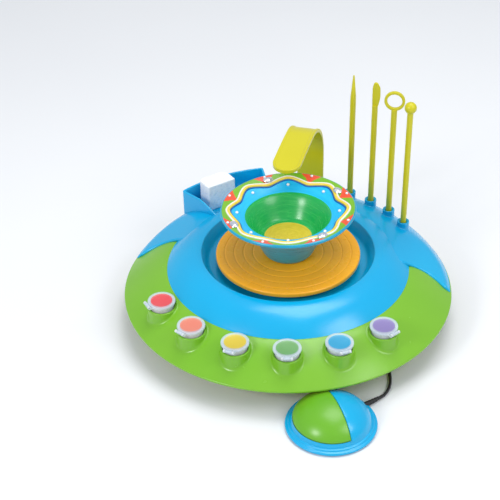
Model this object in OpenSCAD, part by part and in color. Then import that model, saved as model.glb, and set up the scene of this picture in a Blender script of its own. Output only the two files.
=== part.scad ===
// Battery pottery wheel for children, with its foot pedal, paints, tools and sponge.
// +Z is up, z = 0 is the table, the turntable's axis is x = y = 0, and the player sits at -Y.

/* [Deck] */
// Outer radius of the round deck
deck_r = 160; // [156:0.5:164]
// Height of the deck's lower edge above the table
deck_edge_z = 27; // [26:0.5:28]
// Height of the deck's flat middle, where the housing stands
deck_flat_z = 54; // [53.8:0.1:54.2]
// Wall thickness of the deck and the housing
wall = 2.4; // [2:0.1:2.6]

/* [Housing] */
// Radius of the splash ring's foot
ring_foot_r = 117; // [116:0.5:118]
// Radius of the splash ring's crest
ring_crest_r = 85.5; // [84.5:0.5:86.5]
// Height of the splash ring's crest
ring_crest_z = 71.5; // [70:0.5:73]
// Height of the sponge tray's rim
tray_rim_z = 77; // [74:1:80]

/* [Turntable] */
// Radius of the turntable
table_r = 69.5; // [64:0.5:72]
// Height of the turntable's face
table_z = 69.5; // [69:0.5:70.5]

/* [Paints and tools] */
// Distance of the paint pots from the axis
pot_circle_r = 134; // [133:0.5:135]
// Angle between neighbouring paint pots
pot_step = 20.3; // [19:0.1:22]
// Distance of the tool sockets from the axis
tool_circle_r = 127.5; // [126:0.5:129]
// Radius of a modelling tool's stem
tool_r = 2.9; // [2.5:0.1:3]
// Height of the tools' upper ends
tool_top_z = 200; // [185:1:205]

/* [Arm] */
// Height of the overhead arm's tongue
arm_z = 152; // [148:1:156]
// Width of the arm's strap
arm_w = 27; // [24:0.5:28]
// Angle that the arm is swung away from the middle
arm_turn = -3.5; // [-8:0.5:8]

/* [Foot pedal] */
// Outer radius of the pedal's flange
pedal_r = 41.4; // [41:0.2:42]
// Height of the pedal's dome
pedal_top = 27.5; // [26:0.5:29]
// Direction in which the pedal's fixed half faces, measured from +X
pedal_turn = 31.4; // [31:0.2:32]

/* [Hidden] */
$fn = 96;
POTS = 6;
TOOLS = 4;

// Colours
GREEN = "#82bf36";
BLUE = "#0fb4e8";
ORANGE = "#f3a51f";
YELLOW = "#d6cf1b";
RUBBER = "#26262a";
STEEL = "#b9bcc0";
DARK = "#2f3136";
NYLON = "#ece9dc";
PAINTS = ["#f0524e", "#f58a70", "#eccb3c", "#5cb85a", "#3b9fd6", "#9a83c9"];

// Lower base, a round tub under the deck
base_r = 104;
base_z = 3;
floor_t = 2.5;
floor_z = base_z + floor_t;
base_top_z = deck_flat_z - 2.5;
base_post_xy = 62;
base_post_z = 40;
foot_r = 92;

// Battery compartment for four C cells, two rows of two
box_x = 52.5;
box_y0 = -83;
box_y1 = -27;
box_top = 34;
cell_r = 13.1;
cell_l = 50;
cell_z = floor_z + 0.4 + cell_r;
cell_ys = [-69.2, -40.8];
box_wall = 2;
door_gap = 0.3;
tab_xs = [-30, 30];
tab_w = 12;
tab_t = 1.2;
tab_reach = 1.5;
tab_gap = 0.15;
door_screw_y = box_y1 + 6;

// Gear train: teeth and modules from the motor to the output
plate_z = 31;
plate_t = 2;
cover_z = 46;
plate_x0 = -31.5;
plate_x1 = 50;
plate_y0 = -23.5;
plate_y1 = 75;
pillars = [[-27, -19], [46, -17], [-26, 71], [46, 71]];
out_teeth = 56;
out_m = 1;
c2_pinion_teeth = 12;
c2_wheel_teeth = 44;
c2_m = 0.8;
c1_pinion_teeth = 11;
c1_wheel_teeth = 40;
c1_m = 0.6;
motor_teeth = 10;
gear_turn = 30;
c2_xy = [0, (out_teeth + c2_pinion_teeth) / 2 * out_m];
c1_xy = c2_xy + (c2_wheel_teeth + c1_pinion_teeth) / 2 * c2_m * [cos(gear_turn), sin(gear_turn)];
motor_xy = c1_xy + (c1_wheel_teeth + motor_teeth) / 2 * c1_m * [cos(gear_turn), sin(gear_turn)];
axle_r = 1.5;
spindle_r = 4;
bush_r = 8;
fit = 0.06;
pinion_z = [39.8, 44.2];
shaft_top_z = 45;
gear_1_z = [34, 40.5, 43.5];
gear_2_z = [34.5, 37.5, 44.7];
out_gear_z = [37, 39.5, 44.5];
pillar_r = 3.5;

// Deck and housing
deck_drop = 25;
deck_rim_r = deck_r - 2;
dome_steps = 9;
deck_hole_r = 30;
deck_t = deck_flat_z - base_top_z;
deck_gap = 0.15;
ring_h = ring_crest_z - deck_flat_z;
pan_z = 58;
hub_z = 61;
hub_r = 12.5;
pan_r = 77;
house_screw_r = 95;
groove_rs = [34, 43, 52, 61];
groove_w = 1;
groove_depth = 0.35;

// Wing of the housing: outline in (radius, height), roof slope and the cutters at its two tips
wing = [[97, 66], [104, 66.3], [115, 64.2], [127, 60.5], [136, 55.5], [146, 47], [153, 39.5],
        [deck_rim_r, 31.8]];
wing_in = [[96, 63.6], [104, 63.9], [114.4, 61.8], [126, 58.2], [134.6, 53.6], [144.3, 45.4],
           [151, 38.2], [deck_rim_r - wall, 30.6]];
roof_z = 121;
roof_slope = 0.55;
wing_y = 14;
tip_cut_r = 39.2;
tip_cut = [130.1, -19.2];

// Sponge tray: sector of the rear left, angles from +X
tray_r = 145.6;
tray_a0 = 110.9;
tray_a1 = 148.8;
tray_floor_z = 56.8;
tray_wall_a = 1.1;
sponge_at = [129, 135];

// Tool sockets and the arm's turret
tool_a0 = 70.4;
tool_step = -11.45;
socket_r = 6;
socket_z = 68;
socket_floor_z = 53.5;
tool_end_l = 24;
arm_y = 127;
turret_r = 14.5;
turret_z = 66;
peg_r = 8;
arm_t = 3.6;
arm_bend_r = 47;
arm_reach = 113;

// Paint pots, in the wells of the deck
well_r = 11.5;
well_wall = 2.3;
well_top_z = 52;
well_floor_z = 38;
cup_r = 11.2;
cup_top_z = 57;
lid_r = 13;
lid_t = 1.6;
hinge_x = 14.6;
hinge_z = 57.8;

// Foot pedal, in its own frame with the cord towards +Y
pedal_at = [68.7, -160.9];
dome_r = 36.5;
dome_z = 2;
pad_r = 34.5;
pad_y = 4.2;
cord_turn = 15.6;
pad_gap = 0.4;
pedal_floor_z = 3.4;
pedal_foot_h = 1.2;
pedal_spring_y = -18;
pad_boss_z = 13;
pad_skirt_z = 7.5;
skirt_r = dome_r - 2.2;
relief_at = [0, 34, 3];
relief_r = 2.6;
relief_grip = 7.4;
relief_l = 13;

// Cord: radius, coil and the two stretches that aren't coiled
cord_r = 1.5;
coil_at = [128, 14];
coil_r = 17;
coil_w = 12;
coil_h = 6.2;
gland_turn = 42;
gland_z = 9;
gland_end_r = 114;
cord_in = [
    [105.5, -121.4, 3], [107.5, -119, 2.6], [110, -115, 1.8], [112, -110, 1.6], [113.5, -104, 1.6],
    [113.8, -97, 1.6], [113, -90, 1.6], [111.5, -82, 1.6], [110, -73, 1.6], [108.8, -63, 1.6],
    [108, -52, 1.6], [107.4, -41, 1.6], [107, -30, 1.6], [106.7, -19, 1.6], [106.5, -8, 1.6],
    [106.5, 3, 1.6], [106.5, 14, 1.6]];
cord_out = [
    [106.5, 14, 4.6], [106.6, 22, 4.4], [107.2, 30, 3.4], [108.6, 38, 2], [110, 45, 1.6],
    [111, 52, 1.6], [111.4, 59, 1.6], [110.8, 66, 1.6], [109, 72.5, 1.9], [106, 78, 2.9],
    [102, 81.6, 4.6], [97.5, 83, 6.5], [92.8, 81.8, 8.2], [88.6, 79.2, 8.9],
    [gland_end_r * cos(gland_turn), gland_end_r * sin(gland_turn), gland_z]];

function deck_top(r) =
    deck_flat_z - deck_drop * pow(max(0, r - ring_foot_r) / (deck_r - ring_foot_r), 1.25);
function dome_line(lift = 0) =
    [for (k = [0:dome_steps]) let (r = ring_foot_r + (deck_rim_r - ring_foot_r) * k / dome_steps)
        [r, deck_top(r) + lift]];
function ring_top(r) =
    deck_flat_z + ring_h * (1 - pow((r - ring_crest_r) / (ring_foot_r - ring_crest_r), 1.8));
function tool_angle(i) = tool_a0 + tool_step * (i - 1);
function pot_angle(i) = -90 + pot_step * (i - (POTS + 1) / 2);
function reversed(list) = [for (i = [len(list) - 1:-1:0]) list[i]];

// Unit tangent of a route at point i
function tangent(route, i) =
    let (a = route[max(0, i - 1)], b = route[min(len(route) - 1, i + 1)])
    (b - a) / norm(b - a);

// Ring of points round a route, square to its tangent
function route_ring(route, i, radius, sides) =
    let (t = tangent(route, i), u = cross(t, [0, 0, 1]) / norm(cross(t, [0, 0, 1])), v = cross(u, t))
    [for (k = [0:sides - 1])
        route[i] + radius * (cos(360 * (k + 0.5) / sides) * u + sin(360 * (k + 0.5) / sides) * v)];

module tube_along(route, radius, sides) {
    rings = len(route);
    points = [for (i = [0:rings - 1]) each route_ring(route, i, radius, sides)];
    sides_of = [for (i = [0:rings - 2]) for (k = [0:sides - 1])
        [i * sides + k, i * sides + (k + 1) % sides,
         (i + 1) * sides + (k + 1) % sides, (i + 1) * sides + k]];
    first = [for (k = [sides - 1:-1:0]) k];
    last = [for (k = [0:sides - 1]) (rings - 1) * sides + k];
    polyhedron(points, concat([first], sides_of, [last]), convexity = 6);
}

module at_polar(r, a, z = 0) {
    rotate([0, 0, a]) translate([r, 0, z]) children();
}

module pipe(r_out, r_in, z0, z1) {
    translate([0, 0, z0]) difference() {
        cylinder(r = r_out, h = z1 - z0);
        translate([0, 0, -1]) cylinder(r = r_in, h = z1 - z0 + 2);
    }
}

module disc(r, z0, z1) {
    translate([0, 0, z0]) cylinder(r = r, h = z1 - z0);
}

module block(x0, x1, y0, y1, z0, z1) {
    translate([x0, y0, z0]) cube([x1 - x0, y1 - y0, z1 - z0]);
}

module screw(head_r, shank_r, z_head, head_h, z_tip) {
    up = z_tip > z_head ? 1 : -1;
    translate([0, 0, z_head]) mirror([0, 0, up > 0 ? 0 : 1]) {
        difference() {
            cylinder(r = head_r, h = head_h, $fn = 32);
            for (a = [0, 90]) rotate([0, 0, a])
                translate([-head_r * 0.6, -0.4, -1]) cube([head_r * 1.2, 0.8, 1.7]);
        }
        translate([0, 0, head_h]) cylinder(r = shank_r, h = abs(z_tip - z_head) - head_h, $fn = 32);
    }
}

// Spur gear with straight-sided teeth; one tooth points along the angle turn
module spur_gear(teeth, m, z0, z1, bore, turn = 0) {
    root = m * (teeth / 2 - 1.25);
    tip = m * (teeth / 2 + 0.95);
    step = 360 / teeth;
    edge = [[root, -0.28], [tip, -0.11], [tip, 0.11], [root, 0.28]];
    outline = [for (k = [0:teeth - 1]) for (e = edge)
        e[0] * [cos(turn + step * (k + e[1])), sin(turn + step * (k + e[1]))]];
    translate([0, 0, z0]) difference() {
        linear_extrude(z1 - z0) polygon(outline);
        translate([0, 0, -1]) cylinder(r = bore, h = z1 - z0 + 2, $fn = 48);
    }
}

module lower_base() {
    color(ORANGE) difference() {
        union() {
            pipe(base_r, base_r - wall, base_z, base_top_z);
            disc(base_r - 1, base_z, floor_z);
            block(-box_x - box_wall, box_x + box_wall, box_y0 - box_wall, box_y1 + box_wall,
                  base_z, box_top + box_wall);
            for (x = [-1, 1], y = [-1, 1]) translate([x * base_post_xy, y * base_post_xy, 0])
                disc(4.5, base_z, base_post_z);
            for (p = pillars) translate(p) disc(4, base_z, plate_z);
        }
        block(-box_x, box_x, box_y0, box_y1, base_z - 1, box_top);
        for (x = tab_xs)
            block(x - tab_w / 2 - door_gap, x + tab_w / 2 + door_gap, box_y0 - box_wall - 1, box_y0 + 1,
                  floor_z - tab_gap, floor_z + tab_t + tab_gap);
        for (x = [-1, 1], y = [-1, 1]) translate([x * base_post_xy, y * base_post_xy, 0]) {
            disc(3.1, base_z - 1, base_post_z - 6);
            disc(1.6, base_z, base_post_z + 1);
        }
        for (p = pillars) translate(p) disc(1.3, plate_z - 11, plate_z + 1);
        rotate([0, 0, gland_turn]) translate([base_r - 6, 0, gland_z]) rotate([0, 90, 0])
            cylinder(r = 3.8, h = 10);
        translate([0, door_screw_y, 0]) disc(1.2, base_z - 1, floor_z + 1);
    }
}

module rubber_feet() {
    color(RUBBER) for (a = [30, 150, 210, 330]) at_polar(foot_r, a) disc(7, 0, base_z);
}

module base_screws() {
    color(STEEL) for (x = [-1, 1], y = [-1, 1]) translate([x * base_post_xy, y * base_post_xy, 0])
        screw(2.8, 1.4, base_post_z - 8, 2, base_post_z + 8);
}

// Door of the battery compartment, let into the underside: two tabs hook over the base's floor on
// one side, and a tongue takes its screw on the other
module battery_door() {
    color(ORANGE) difference() {
        union() {
            block(-box_x + door_gap, box_x - door_gap, box_y0 + door_gap, box_y1 - door_gap,
                  base_z, floor_z);
            block(-9, 9, box_y1 - 4, box_y1 + 11, base_z - 1.2, base_z);
            for (x = tab_xs)
                block(x - tab_w / 2, x + tab_w / 2, box_y0 - tab_reach, box_y0 + 3,
                      floor_z, floor_z + tab_t);
        }
        translate([0, door_screw_y, 0]) disc(1.4, base_z - 2, base_z + 2);
    }
}

module door_screw() {
    color(STEEL) translate([0, door_screw_y, 0]) screw(2.6, 1.2, base_z - 2.6, 1.4, floor_z + 4);
}

module battery_cells() {
    for (x = [-1, 1], y = cell_ys) translate([x * 25.6, y, cell_z]) rotate([0, 90, 0]) {
        color(DARK) translate([0, 0, -cell_l / 2]) cylinder(r = cell_r, h = cell_l - 1.6);
        color(STEEL) translate([0, 0, cell_l / 2 - 1.6]) cylinder(r = 3.4, h = 1.6, $fn = 48);
    }
}

module battery_contacts() {
    color(STEEL) for (x = [-1, 1], y = cell_ys) translate([x * box_x, y, cell_z]) rotate([0, -90 * x, 0]) {
        translate([-6, -6, 0]) cube([12, 12, 0.6]);
        translate([0, 0, 0.6]) cylinder(r = 5, h = 1.2, $fn = 48);
    }
}

// Lower plate of the gearbox, with its four pillars
module gear_plate() {
    color(NYLON) difference() {
        union() {
            block(plate_x0, plate_x1, plate_y0, plate_y1, plate_z, plate_z + plate_t);
            for (p = pillars) translate(p) disc(pillar_r, plate_z + plate_t, cover_z);
            disc(8, plate_z, plate_z + plate_t + 3);
        }
        disc(spindle_r + fit, plate_z - 1, cover_z);
        for (c = [c1_xy, c2_xy]) translate(c) disc(axle_r, plate_z - 1, cover_z);
        translate(motor_xy) disc(3.05, plate_z - 1, cover_z);
        for (p = pillars) translate(p) disc(1.5, plate_z - 1, cover_z + 1);
    }
}

module gear_cover() {
    color(NYLON) difference() {
        block(plate_x0, plate_x1, plate_y0, plate_y1, cover_z, cover_z + plate_t);
        disc(spindle_r + 1, cover_z - 1, cover_z + 4);
        for (c = [c1_xy, c2_xy]) translate(c) disc(axle_r, cover_z - 1, cover_z + 4);
        for (p = pillars) translate(p) disc(1.5, cover_z - 1, cover_z + 4);
    }
}

module gearbox_screws() {
    color(STEEL) for (p = pillars) translate(p)
        screw(2.6, 1.3, cover_z + plate_t + 1.5, 1.5, plate_z - 10);
}

// Small permanent magnet motor, hung under the plate
module motor_case() {
    color(STEEL) translate(motor_xy) difference() {
        union() {
            intersection() {
                disc(10, floor_z + 0.2, plate_z);
                block(-12, 12, -7.6, 7.6, floor_z, plate_z);
            }
            disc(3, plate_z, plate_z + 1.5);
        }
        disc(1.05, floor_z + 8, plate_z + 4);
    }
}

module motor_shaft() {
    color(STEEL) translate(motor_xy) disc(1, floor_z + 10, shaft_top_z);
}

module motor_pinion() {
    color("#c9a74a") translate(motor_xy)
        spur_gear(motor_teeth, c1_m, pinion_z[0], pinion_z[1], 1, gear_turn + 180 + 180 / motor_teeth);
}

module gear_axles() {
    color(STEEL) for (c = [c1_xy, c2_xy]) translate(c) disc(axle_r, plate_z, cover_z + plate_t);
}

module compound_gear_1() {
    color(NYLON) translate(c1_xy) {
        spur_gear(c1_pinion_teeth, c2_m, gear_1_z[0], gear_1_z[1], axle_r + fit,
                  gear_turn + 180 + 180 / c1_pinion_teeth);
        spur_gear(c1_wheel_teeth, c1_m, gear_1_z[1], gear_1_z[2], axle_r + fit, gear_turn);
    }
}

module compound_gear_2() {
    color(NYLON) translate(c2_xy) {
        spur_gear(c2_wheel_teeth, c2_m, gear_2_z[0], gear_2_z[1], axle_r + fit, gear_turn);
        spur_gear(c2_pinion_teeth, out_m, gear_2_z[1], gear_2_z[2], axle_r + fit,
                  90 + 180 / c2_pinion_teeth);
    }
}

module output_gear() {
    color(NYLON) {
        spur_gear(out_teeth, out_m, out_gear_z[1], out_gear_z[2], spindle_r);
        pipe(7, spindle_r, out_gear_z[0], out_gear_z[1]);
    }
}

module drive_spindle() {
    color(STEEL) disc(spindle_r, plate_z, table_z - 1.5);
}

module bearing_bush() {
    color("#8d8f93") {
        pipe(bush_r, spindle_r + fit, deck_flat_z - 0.5, hub_z);
        pipe(bush_r + 2, spindle_r + fit, hub_z, hub_z + 1);
    }
}

// Deck: domed shell with a rolled edge, six wells for the paint pots and four screw bosses
module deck() {
    outer = dome_line();
    inner = [for (p = outer) [p[0] - 0.9, p[1] - deck_t]];
    edge = [[deck_r - 0.4, deck_edge_z + 2.6],
            [deck_r, deck_edge_z + 1.4], [deck_r - 0.4, deck_edge_z], [deck_r - 3.2, deck_edge_z]];
    section = concat([[deck_hole_r, deck_flat_z]], outer, edge, reversed(inner),
                     [[deck_hole_r, deck_flat_z - deck_t]]);
    color(GREEN) difference() {
        union() {
            rotate_extrude($fn = 144) polygon(section);
            for (i = [1:POTS]) at_polar(pot_circle_r, pot_angle(i))
                disc(well_r + well_wall, well_floor_z - 2, well_top_z);
            for (x = [-1, 1], y = [-1, 1]) translate([x * base_post_xy, y * base_post_xy, 0])
                disc(4, base_post_z, deck_flat_z - deck_t);
        }
        for (i = [1:POTS]) at_polar(pot_circle_r, pot_angle(i)) disc(well_r, well_floor_z, well_top_z + 9);
        for (x = [-1, 1], y = [-1, 1]) translate([x * base_post_xy, y * base_post_xy, 0])
            disc(1.4, base_post_z - 1, base_post_z + 9);
        for (k = [0:5]) at_polar(house_screw_r, 60 * k) disc(1.7, deck_flat_z - deck_t - 1, deck_flat_z + 1);
    }
}

// Closed section of the splash ring, pan floor and hub
module ring_section() {
    slope = [for (k = [0:10]) let (r = ring_crest_r + (ring_foot_r - ring_crest_r) * k / 10)
        [r, ring_top(r)]];
    under = [for (k = [1:9]) let (r = ring_crest_r + (ring_foot_r - ring_crest_r) * k / 10)
        [r - 0.9 - 0.16 * k, ring_top(r) - wall + 0.06 * k]];
    crest_in = [[ring_crest_r - 2.6, ring_crest_z - 1.6], [ring_crest_r - 2, ring_crest_z - 0.3],
                [ring_crest_r - 1, ring_crest_z + 0.2]];
    polygon(concat(
        [[bush_r, deck_flat_z - 0.5], [bush_r, hub_z], [hub_r, hub_z], [hub_r, pan_z],
         [pan_r, pan_z], [pan_r + 2, pan_z + 1.5]],
        crest_in, slope, [[ring_foot_r - 3, deck_flat_z]], reversed(under),
        [[ring_crest_r - 0.9, ring_crest_z - 3], [pan_r + 4.6, pan_z], [pan_r + 3, pan_z - wall],
         [hub_r, pan_z - wall], [hub_r, deck_flat_z - 0.5]]));
}

// Solid under the wing's outline, below the roof and behind the tips' cutters
module wing_solid(outline, drop, grow) {
    intersection() {
        rotate_extrude($fn = 144) polygon(concat([[outline[0][0], 20]], outline,
                                                 [[outline[len(outline) - 1][0], 20]]));
        translate([0, 200, 0]) rotate([90, 0, 0]) linear_extrude(200 - wing_y - grow)
            polygon([[-170, 10], [-170, roof_z - drop - 170 * roof_slope], [0, roof_z - drop],
                     [170, roof_z - drop - 170 * roof_slope], [170, 10]]);
        difference() {
            block(-170, 170, 0, 170, 10, 90);
            for (x = [-1, 1]) translate([x * tip_cut[0], tip_cut[1], 0]) disc(tip_cut_r + grow, 0, 95);
        }
    }
}

module sector(a0, a1) {
    rotate([0, 0, a0]) rotate_extrude(angle = a1 - a0, $fn = 144) children();
}

module wing_and_tray() {
    difference() {
        union() {
            difference() {
                wing_solid(wing, 0, 0);
                wing_solid(wing_in, 2.6, wall);
            }
            sector(tray_a0, tray_a1) polygon([
                [97, deck_flat_z + 0.3], [97, 67], [116, tray_rim_z], [tray_r, tray_rim_z], [tray_r, 44],
                [tray_r - wall, 44], [tray_r - wall, deck_flat_z + 0.3]]);
            for (i = [1:TOOLS]) at_polar(tool_circle_r, tool_angle(i))
                disc(socket_r, socket_floor_z - 2, socket_z);
            translate([0, arm_y, 0]) disc(turret_r, deck_flat_z + 0.3, turret_z);
        }
        sector(tray_a0 + tray_wall_a, tray_a1 - tray_wall_a) polygon([
            [90, tray_floor_z], [tray_r - wall, tray_floor_z], [tray_r - wall, 90], [90, 90]]);
        rotate_extrude($fn = 144) polygon(concat(
            [[90, 10], [90, deck_flat_z + deck_gap]],
            dome_line(deck_gap),
            [[deck_r + 2, deck_edge_z], [deck_r + 2, 10]]));
    }
}

module upper_housing() {
    color(BLUE) difference() {
        union() {
            rotate_extrude($fn = 144) ring_section();
            wing_and_tray();
            for (k = [0:5]) at_polar(house_screw_r, 60 * k)
                disc(4, deck_flat_z, ring_top(house_screw_r) - 1);
        }
        for (i = [1:TOOLS]) at_polar(tool_circle_r, tool_angle(i)) {
            disc(tool_r + 0.08, socket_floor_z, socket_z + 1);
            translate([0, 0, socket_z - 1.6]) cylinder(r1 = tool_r + 0.08, r2 = tool_r + 1.9, h = 1.7);
        }
        translate([0, arm_y, 0]) disc(peg_r + fit, deck_flat_z + 2, turret_z + 1);
        for (k = [0:5]) at_polar(house_screw_r, 60 * k) disc(1.4, deck_flat_z - 1, deck_flat_z + 10);
    }
}

module housing_screws() {
    color(STEEL) for (k = [0:5]) at_polar(house_screw_r, 60 * k)
        screw(2.8, 1.4, deck_flat_z - deck_t - 1.8, 1.8, deck_flat_z + 9);
}

// Shallow groove in the turntable's face
module groove(r_out, r_in) {
    pipe(r_out, r_in, table_z - groove_depth, table_z + 1);
}

// Turntable with shallow rings turned in its face
module turntable() {
    color(ORANGE) difference() {
        union() {
            rotate_extrude($fn = 144) polygon([
                [0, table_z - 4.5], [table_r - 1, table_z - 4.5], [table_r, table_z - 3.5],
                [table_r, table_z - 1], [table_r - 1, table_z], [0, table_z]]);
            disc(11, hub_z + 1, table_z - 4);
        }
        disc(spindle_r, hub_z, table_z - 1.5);
        for (r = groove_rs) groove(r + groove_w / 2, r - groove_w / 2);
    }
}

// Open paint cup with a rim and two hinge lugs, in the pot's own frame
module cup() {
    difference() {
        union() {
            rotate_extrude() polygon([
                [0, well_floor_z], [cup_r - 0.8, well_floor_z], [cup_r, cup_top_z - 1.6],
                [cup_r + 1, cup_top_z - 1.4], [cup_r + 1, cup_top_z], [cup_r - 1.2, cup_top_z],
                [cup_r - 1.8, well_floor_z + 1.2], [0, well_floor_z + 1.2]]);
            for (y = [-1, 1]) translate([0, y * 4.2, 0]) {
                block(cup_r, hinge_x, -1, 1, cup_top_z - 1.4, cup_top_z - 0.2);
                translate([hinge_x, 1, hinge_z]) rotate([90, 0, 0]) cylinder(r = 1.5, h = 2);
            }
        }
        translate([hinge_x, 10, hinge_z]) rotate([90, 0, 0]) cylinder(r = 0.86, h = 20, $fn = 32);
    }
}

// Hinged lid with a raised rim, a knuckle and its pin
module lid() {
    z = cup_top_z + 0.05;
    rotate_extrude() polygon([
        [0, z], [lid_r, z], [lid_r, z + lid_t + 0.4], [lid_r - 1.6, z + lid_t + 0.4],
        [lid_r - 2.1, z + lid_t - 0.3], [0, z + lid_t - 0.3]]);
    translate([hinge_x, 2.9, hinge_z]) rotate([90, 0, 0]) cylinder(r = 1.5, h = 5.8);
    block(lid_r - 1, hinge_x - 0.5, -2.6, 2.6, z, z + 1.2);
    translate([hinge_x, 5.2, hinge_z]) rotate([90, 0, 0]) cylinder(r = 0.8, h = 10.4, $fn = 32);
}

module paint_pot(i) {
    color("#eef3f2", 0.6) at_polar(pot_circle_r, pot_angle(i)) cup();
}

module pot_lid(i) {
    color("#e6eef4", 0.6) at_polar(pot_circle_r, pot_angle(i)) lid();
}

module paint(i) {
    color(PAINTS[i - 1]) at_polar(pot_circle_r, pot_angle(i))
        disc(cup_r - 1.9, well_floor_z + 1.2, cup_top_z - 3);
}

// Rectangular sponge with two cut corners, standing in the tray
module sponge() {
    color("#e8eef6") at_polar(sponge_at[0], sponge_at[1], tray_floor_z) rotate([0, 0, 90])
        linear_extrude(28.5) polygon([
            [-16, -4], [-11, -10], [12, -10], [16, -7], [16, 10], [-16, 10]]);
}

// Plastic modelling tools: a pointed one, a flat blade, a loop and a ball
module modelling_tool(i) {
    stem_z = socket_floor_z + 0.1;
    end_z = tool_top_z - tool_end_l;
    stem_tops = [end_z, end_z, end_z + 5.2, end_z + 14];
    point = i == 1 ? [[0.6, tool_top_z], [0, tool_top_z]] : [[0, stem_tops[i - 1]]];
    color(YELLOW) at_polar(tool_circle_r, tool_angle(i)) {
        rotate_extrude() polygon(concat(
            [[0, stem_z], [tool_r, stem_z], [tool_r, stem_tops[i - 1]]], point));
        translate([0, 0, end_z]) rotate([0, 0, 90 - tool_angle(i)]) tool_end(i);
    }
}

module tool_end(i) {
    if (i == 2) {
        rotate([90, 0, 0]) translate([0, 0, -1.2]) linear_extrude(2.4) polygon([
            [-2.7, -3], [2.7, -3], [5, 8], [4.5, 19], [1.5, 24], [-1.5, 24], [-3, 19], [-3, 8]]);
    }
    if (i == 3) {
        rotate([90, 0, 0]) translate([0, 14, -1.5]) linear_extrude(3) difference() {
            circle(r = 10);
            circle(r = 7.2);
        }
    }
    if (i == 4) {
        translate([0, 0, 18.2]) sphere(r = 5.8);
    }
}

// Strap that rises from a round foot and curls forward over the turntable
module overhead_arm() {
    bend_z = arm_z - arm_bend_r;
    tongue = arm_reach - arm_bend_r;
    centre = concat(
        [[0, turret_z + 2]],
        [for (a = [0:9:90]) [-arm_bend_r + arm_bend_r * cos(a), bend_z + arm_bend_r * sin(a)]],
        [for (k = [1:6]) [-arm_bend_r - tongue * k / 6, arm_z - 3.5 * pow(k / 6, 2)]]);
    steps = len(centre);
    normals = [for (i = [0:steps - 1])
        let (d = centre[min(steps - 1, i + 1)] - centre[max(0, i - 1)]) [d[1], -d[0]] / norm(d)];
    outline = concat(
        [for (i = [0:steps - 1]) centre[i] + arm_t / 2 * normals[i]],
        reversed([for (i = [0:steps - 1]) centre[i] - arm_t / 2 * normals[i]]));
    color(YELLOW) translate([0, arm_y, 0]) rotate([0, 0, arm_turn]) {
        intersection() {
            translate([-arm_w / 2, 0, 0]) rotate([90, 0, 90]) linear_extrude(arm_w) polygon(outline);
            union() {
                block(-arm_w / 2, arm_w / 2, -arm_reach + arm_w / 2, 10, 0, 200);
                translate([0, -arm_reach + arm_w / 2, 0]) disc(arm_w / 2, 0, 200);
            }
        }
        disc(turret_r - 0.5, turret_z + 0.1, turret_z + 4);
        disc(peg_r, deck_flat_z + 2.1, turret_z + 1);
    }
}

// Small fired clay bowl on the turntable
module bowl() {
    color("#05a9cf") translate([0, 0, table_z]) rotate_extrude() polygon([
        [0, 0], [22, 0], [24.5, 3], [27.8, 10.5], [32, 19.5], [37.5, 28.5], [45, 35.5], [54, 41],
        [62.8, 45.5], [64.2, 47.7], [62.8, 49.7], [55, 46.9], [46, 43.5], [39.8, 40.5],
        [35, 34.5], [30, 25.5], [26, 19], [22, 17.5], [0, 17.5]]);
}

module in_pedal() {
    translate(pedal_at) rotate([0, 0, pedal_turn - 90]) children();
}

// Bore for the cord's strain relief
module pedal_cord_hole() {
    rotate([0, 0, cord_turn]) translate(relief_at - [0, 4, 0]) rotate([-90, 0, 0])
        cylinder(r = relief_r, h = 15);
}

module pedal_screw_places() {
    for (a = [30, 90, 150]) at_polar(27, a) children();
}

module pedal_base() {
    color(BLUE) in_pedal() difference() {
        union() {
            disc(skirt_r - 0.1, pedal_foot_h, pedal_floor_z);
            translate([0, pedal_spring_y, 0]) disc(2.6, pedal_floor_z, 9);
        }
        pedal_screw_places() disc(1.6, 0, 5);
        pedal_cord_hole();
    }
}

module pedal_feet() {
    color(RUBBER) in_pedal() for (a = [-90, 30, 150]) at_polar(19, a) disc(5, 0, pedal_foot_h);
}

module pedal_screws() {
    color(STEEL) in_pedal() pedal_screw_places() screw(2.4, 1.3, 0.4, 0.8, 12);
}

// Shell between two half ellipses, from the flange up
module dome_shell(a, h, t) {
    steps = 14;
    outer = [for (k = [0:steps]) let (b = 90 * k / steps) [a * cos(b), dome_z + h * sin(b)]];
    inner = [for (k = [0:steps]) let (b = 90 * k / steps) [(a - t) * cos(b), dome_z + (h - t) * sin(b)]];
    rotate_extrude($fn = 96) polygon(concat(outer, reversed(inner)));
}

module pedal_dome() {
    h = pedal_top - dome_z;
    color(BLUE) in_pedal() difference() {
        union() {
            dome_shell(dome_r, h, 2.2);
            rotate_extrude() polygon([
                [skirt_r, pedal_foot_h], [pedal_r - 0.8, pedal_foot_h], [pedal_r, 2],
                [pedal_r - 0.5, 3.4], [dome_r + 1.2, 4.8], [dome_r - 1.6, 5.2],
                [skirt_r, pedal_floor_z]]);
            intersection() {
                pedal_screw_places() disc(3.6, pedal_floor_z, 22);
                dome_shell(dome_r - 0.1, h - 0.1, 20);
            }
            intersection() {
                block(-40, 40, pad_y + pad_gap, pad_y + pad_gap + 1.6, pedal_floor_z, 30);
                dome_shell(dome_r - 0.1, h - 0.1, 30);
            }
        }
        intersection() {
            disc(pad_r + pad_gap, pedal_floor_z, 40);
            block(-50, 50, -50, pad_y + pad_gap, 0, 40);
        }
        pedal_screw_places() disc(1.3, 0, 13);
        pedal_cord_hole();
    }
}

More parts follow.
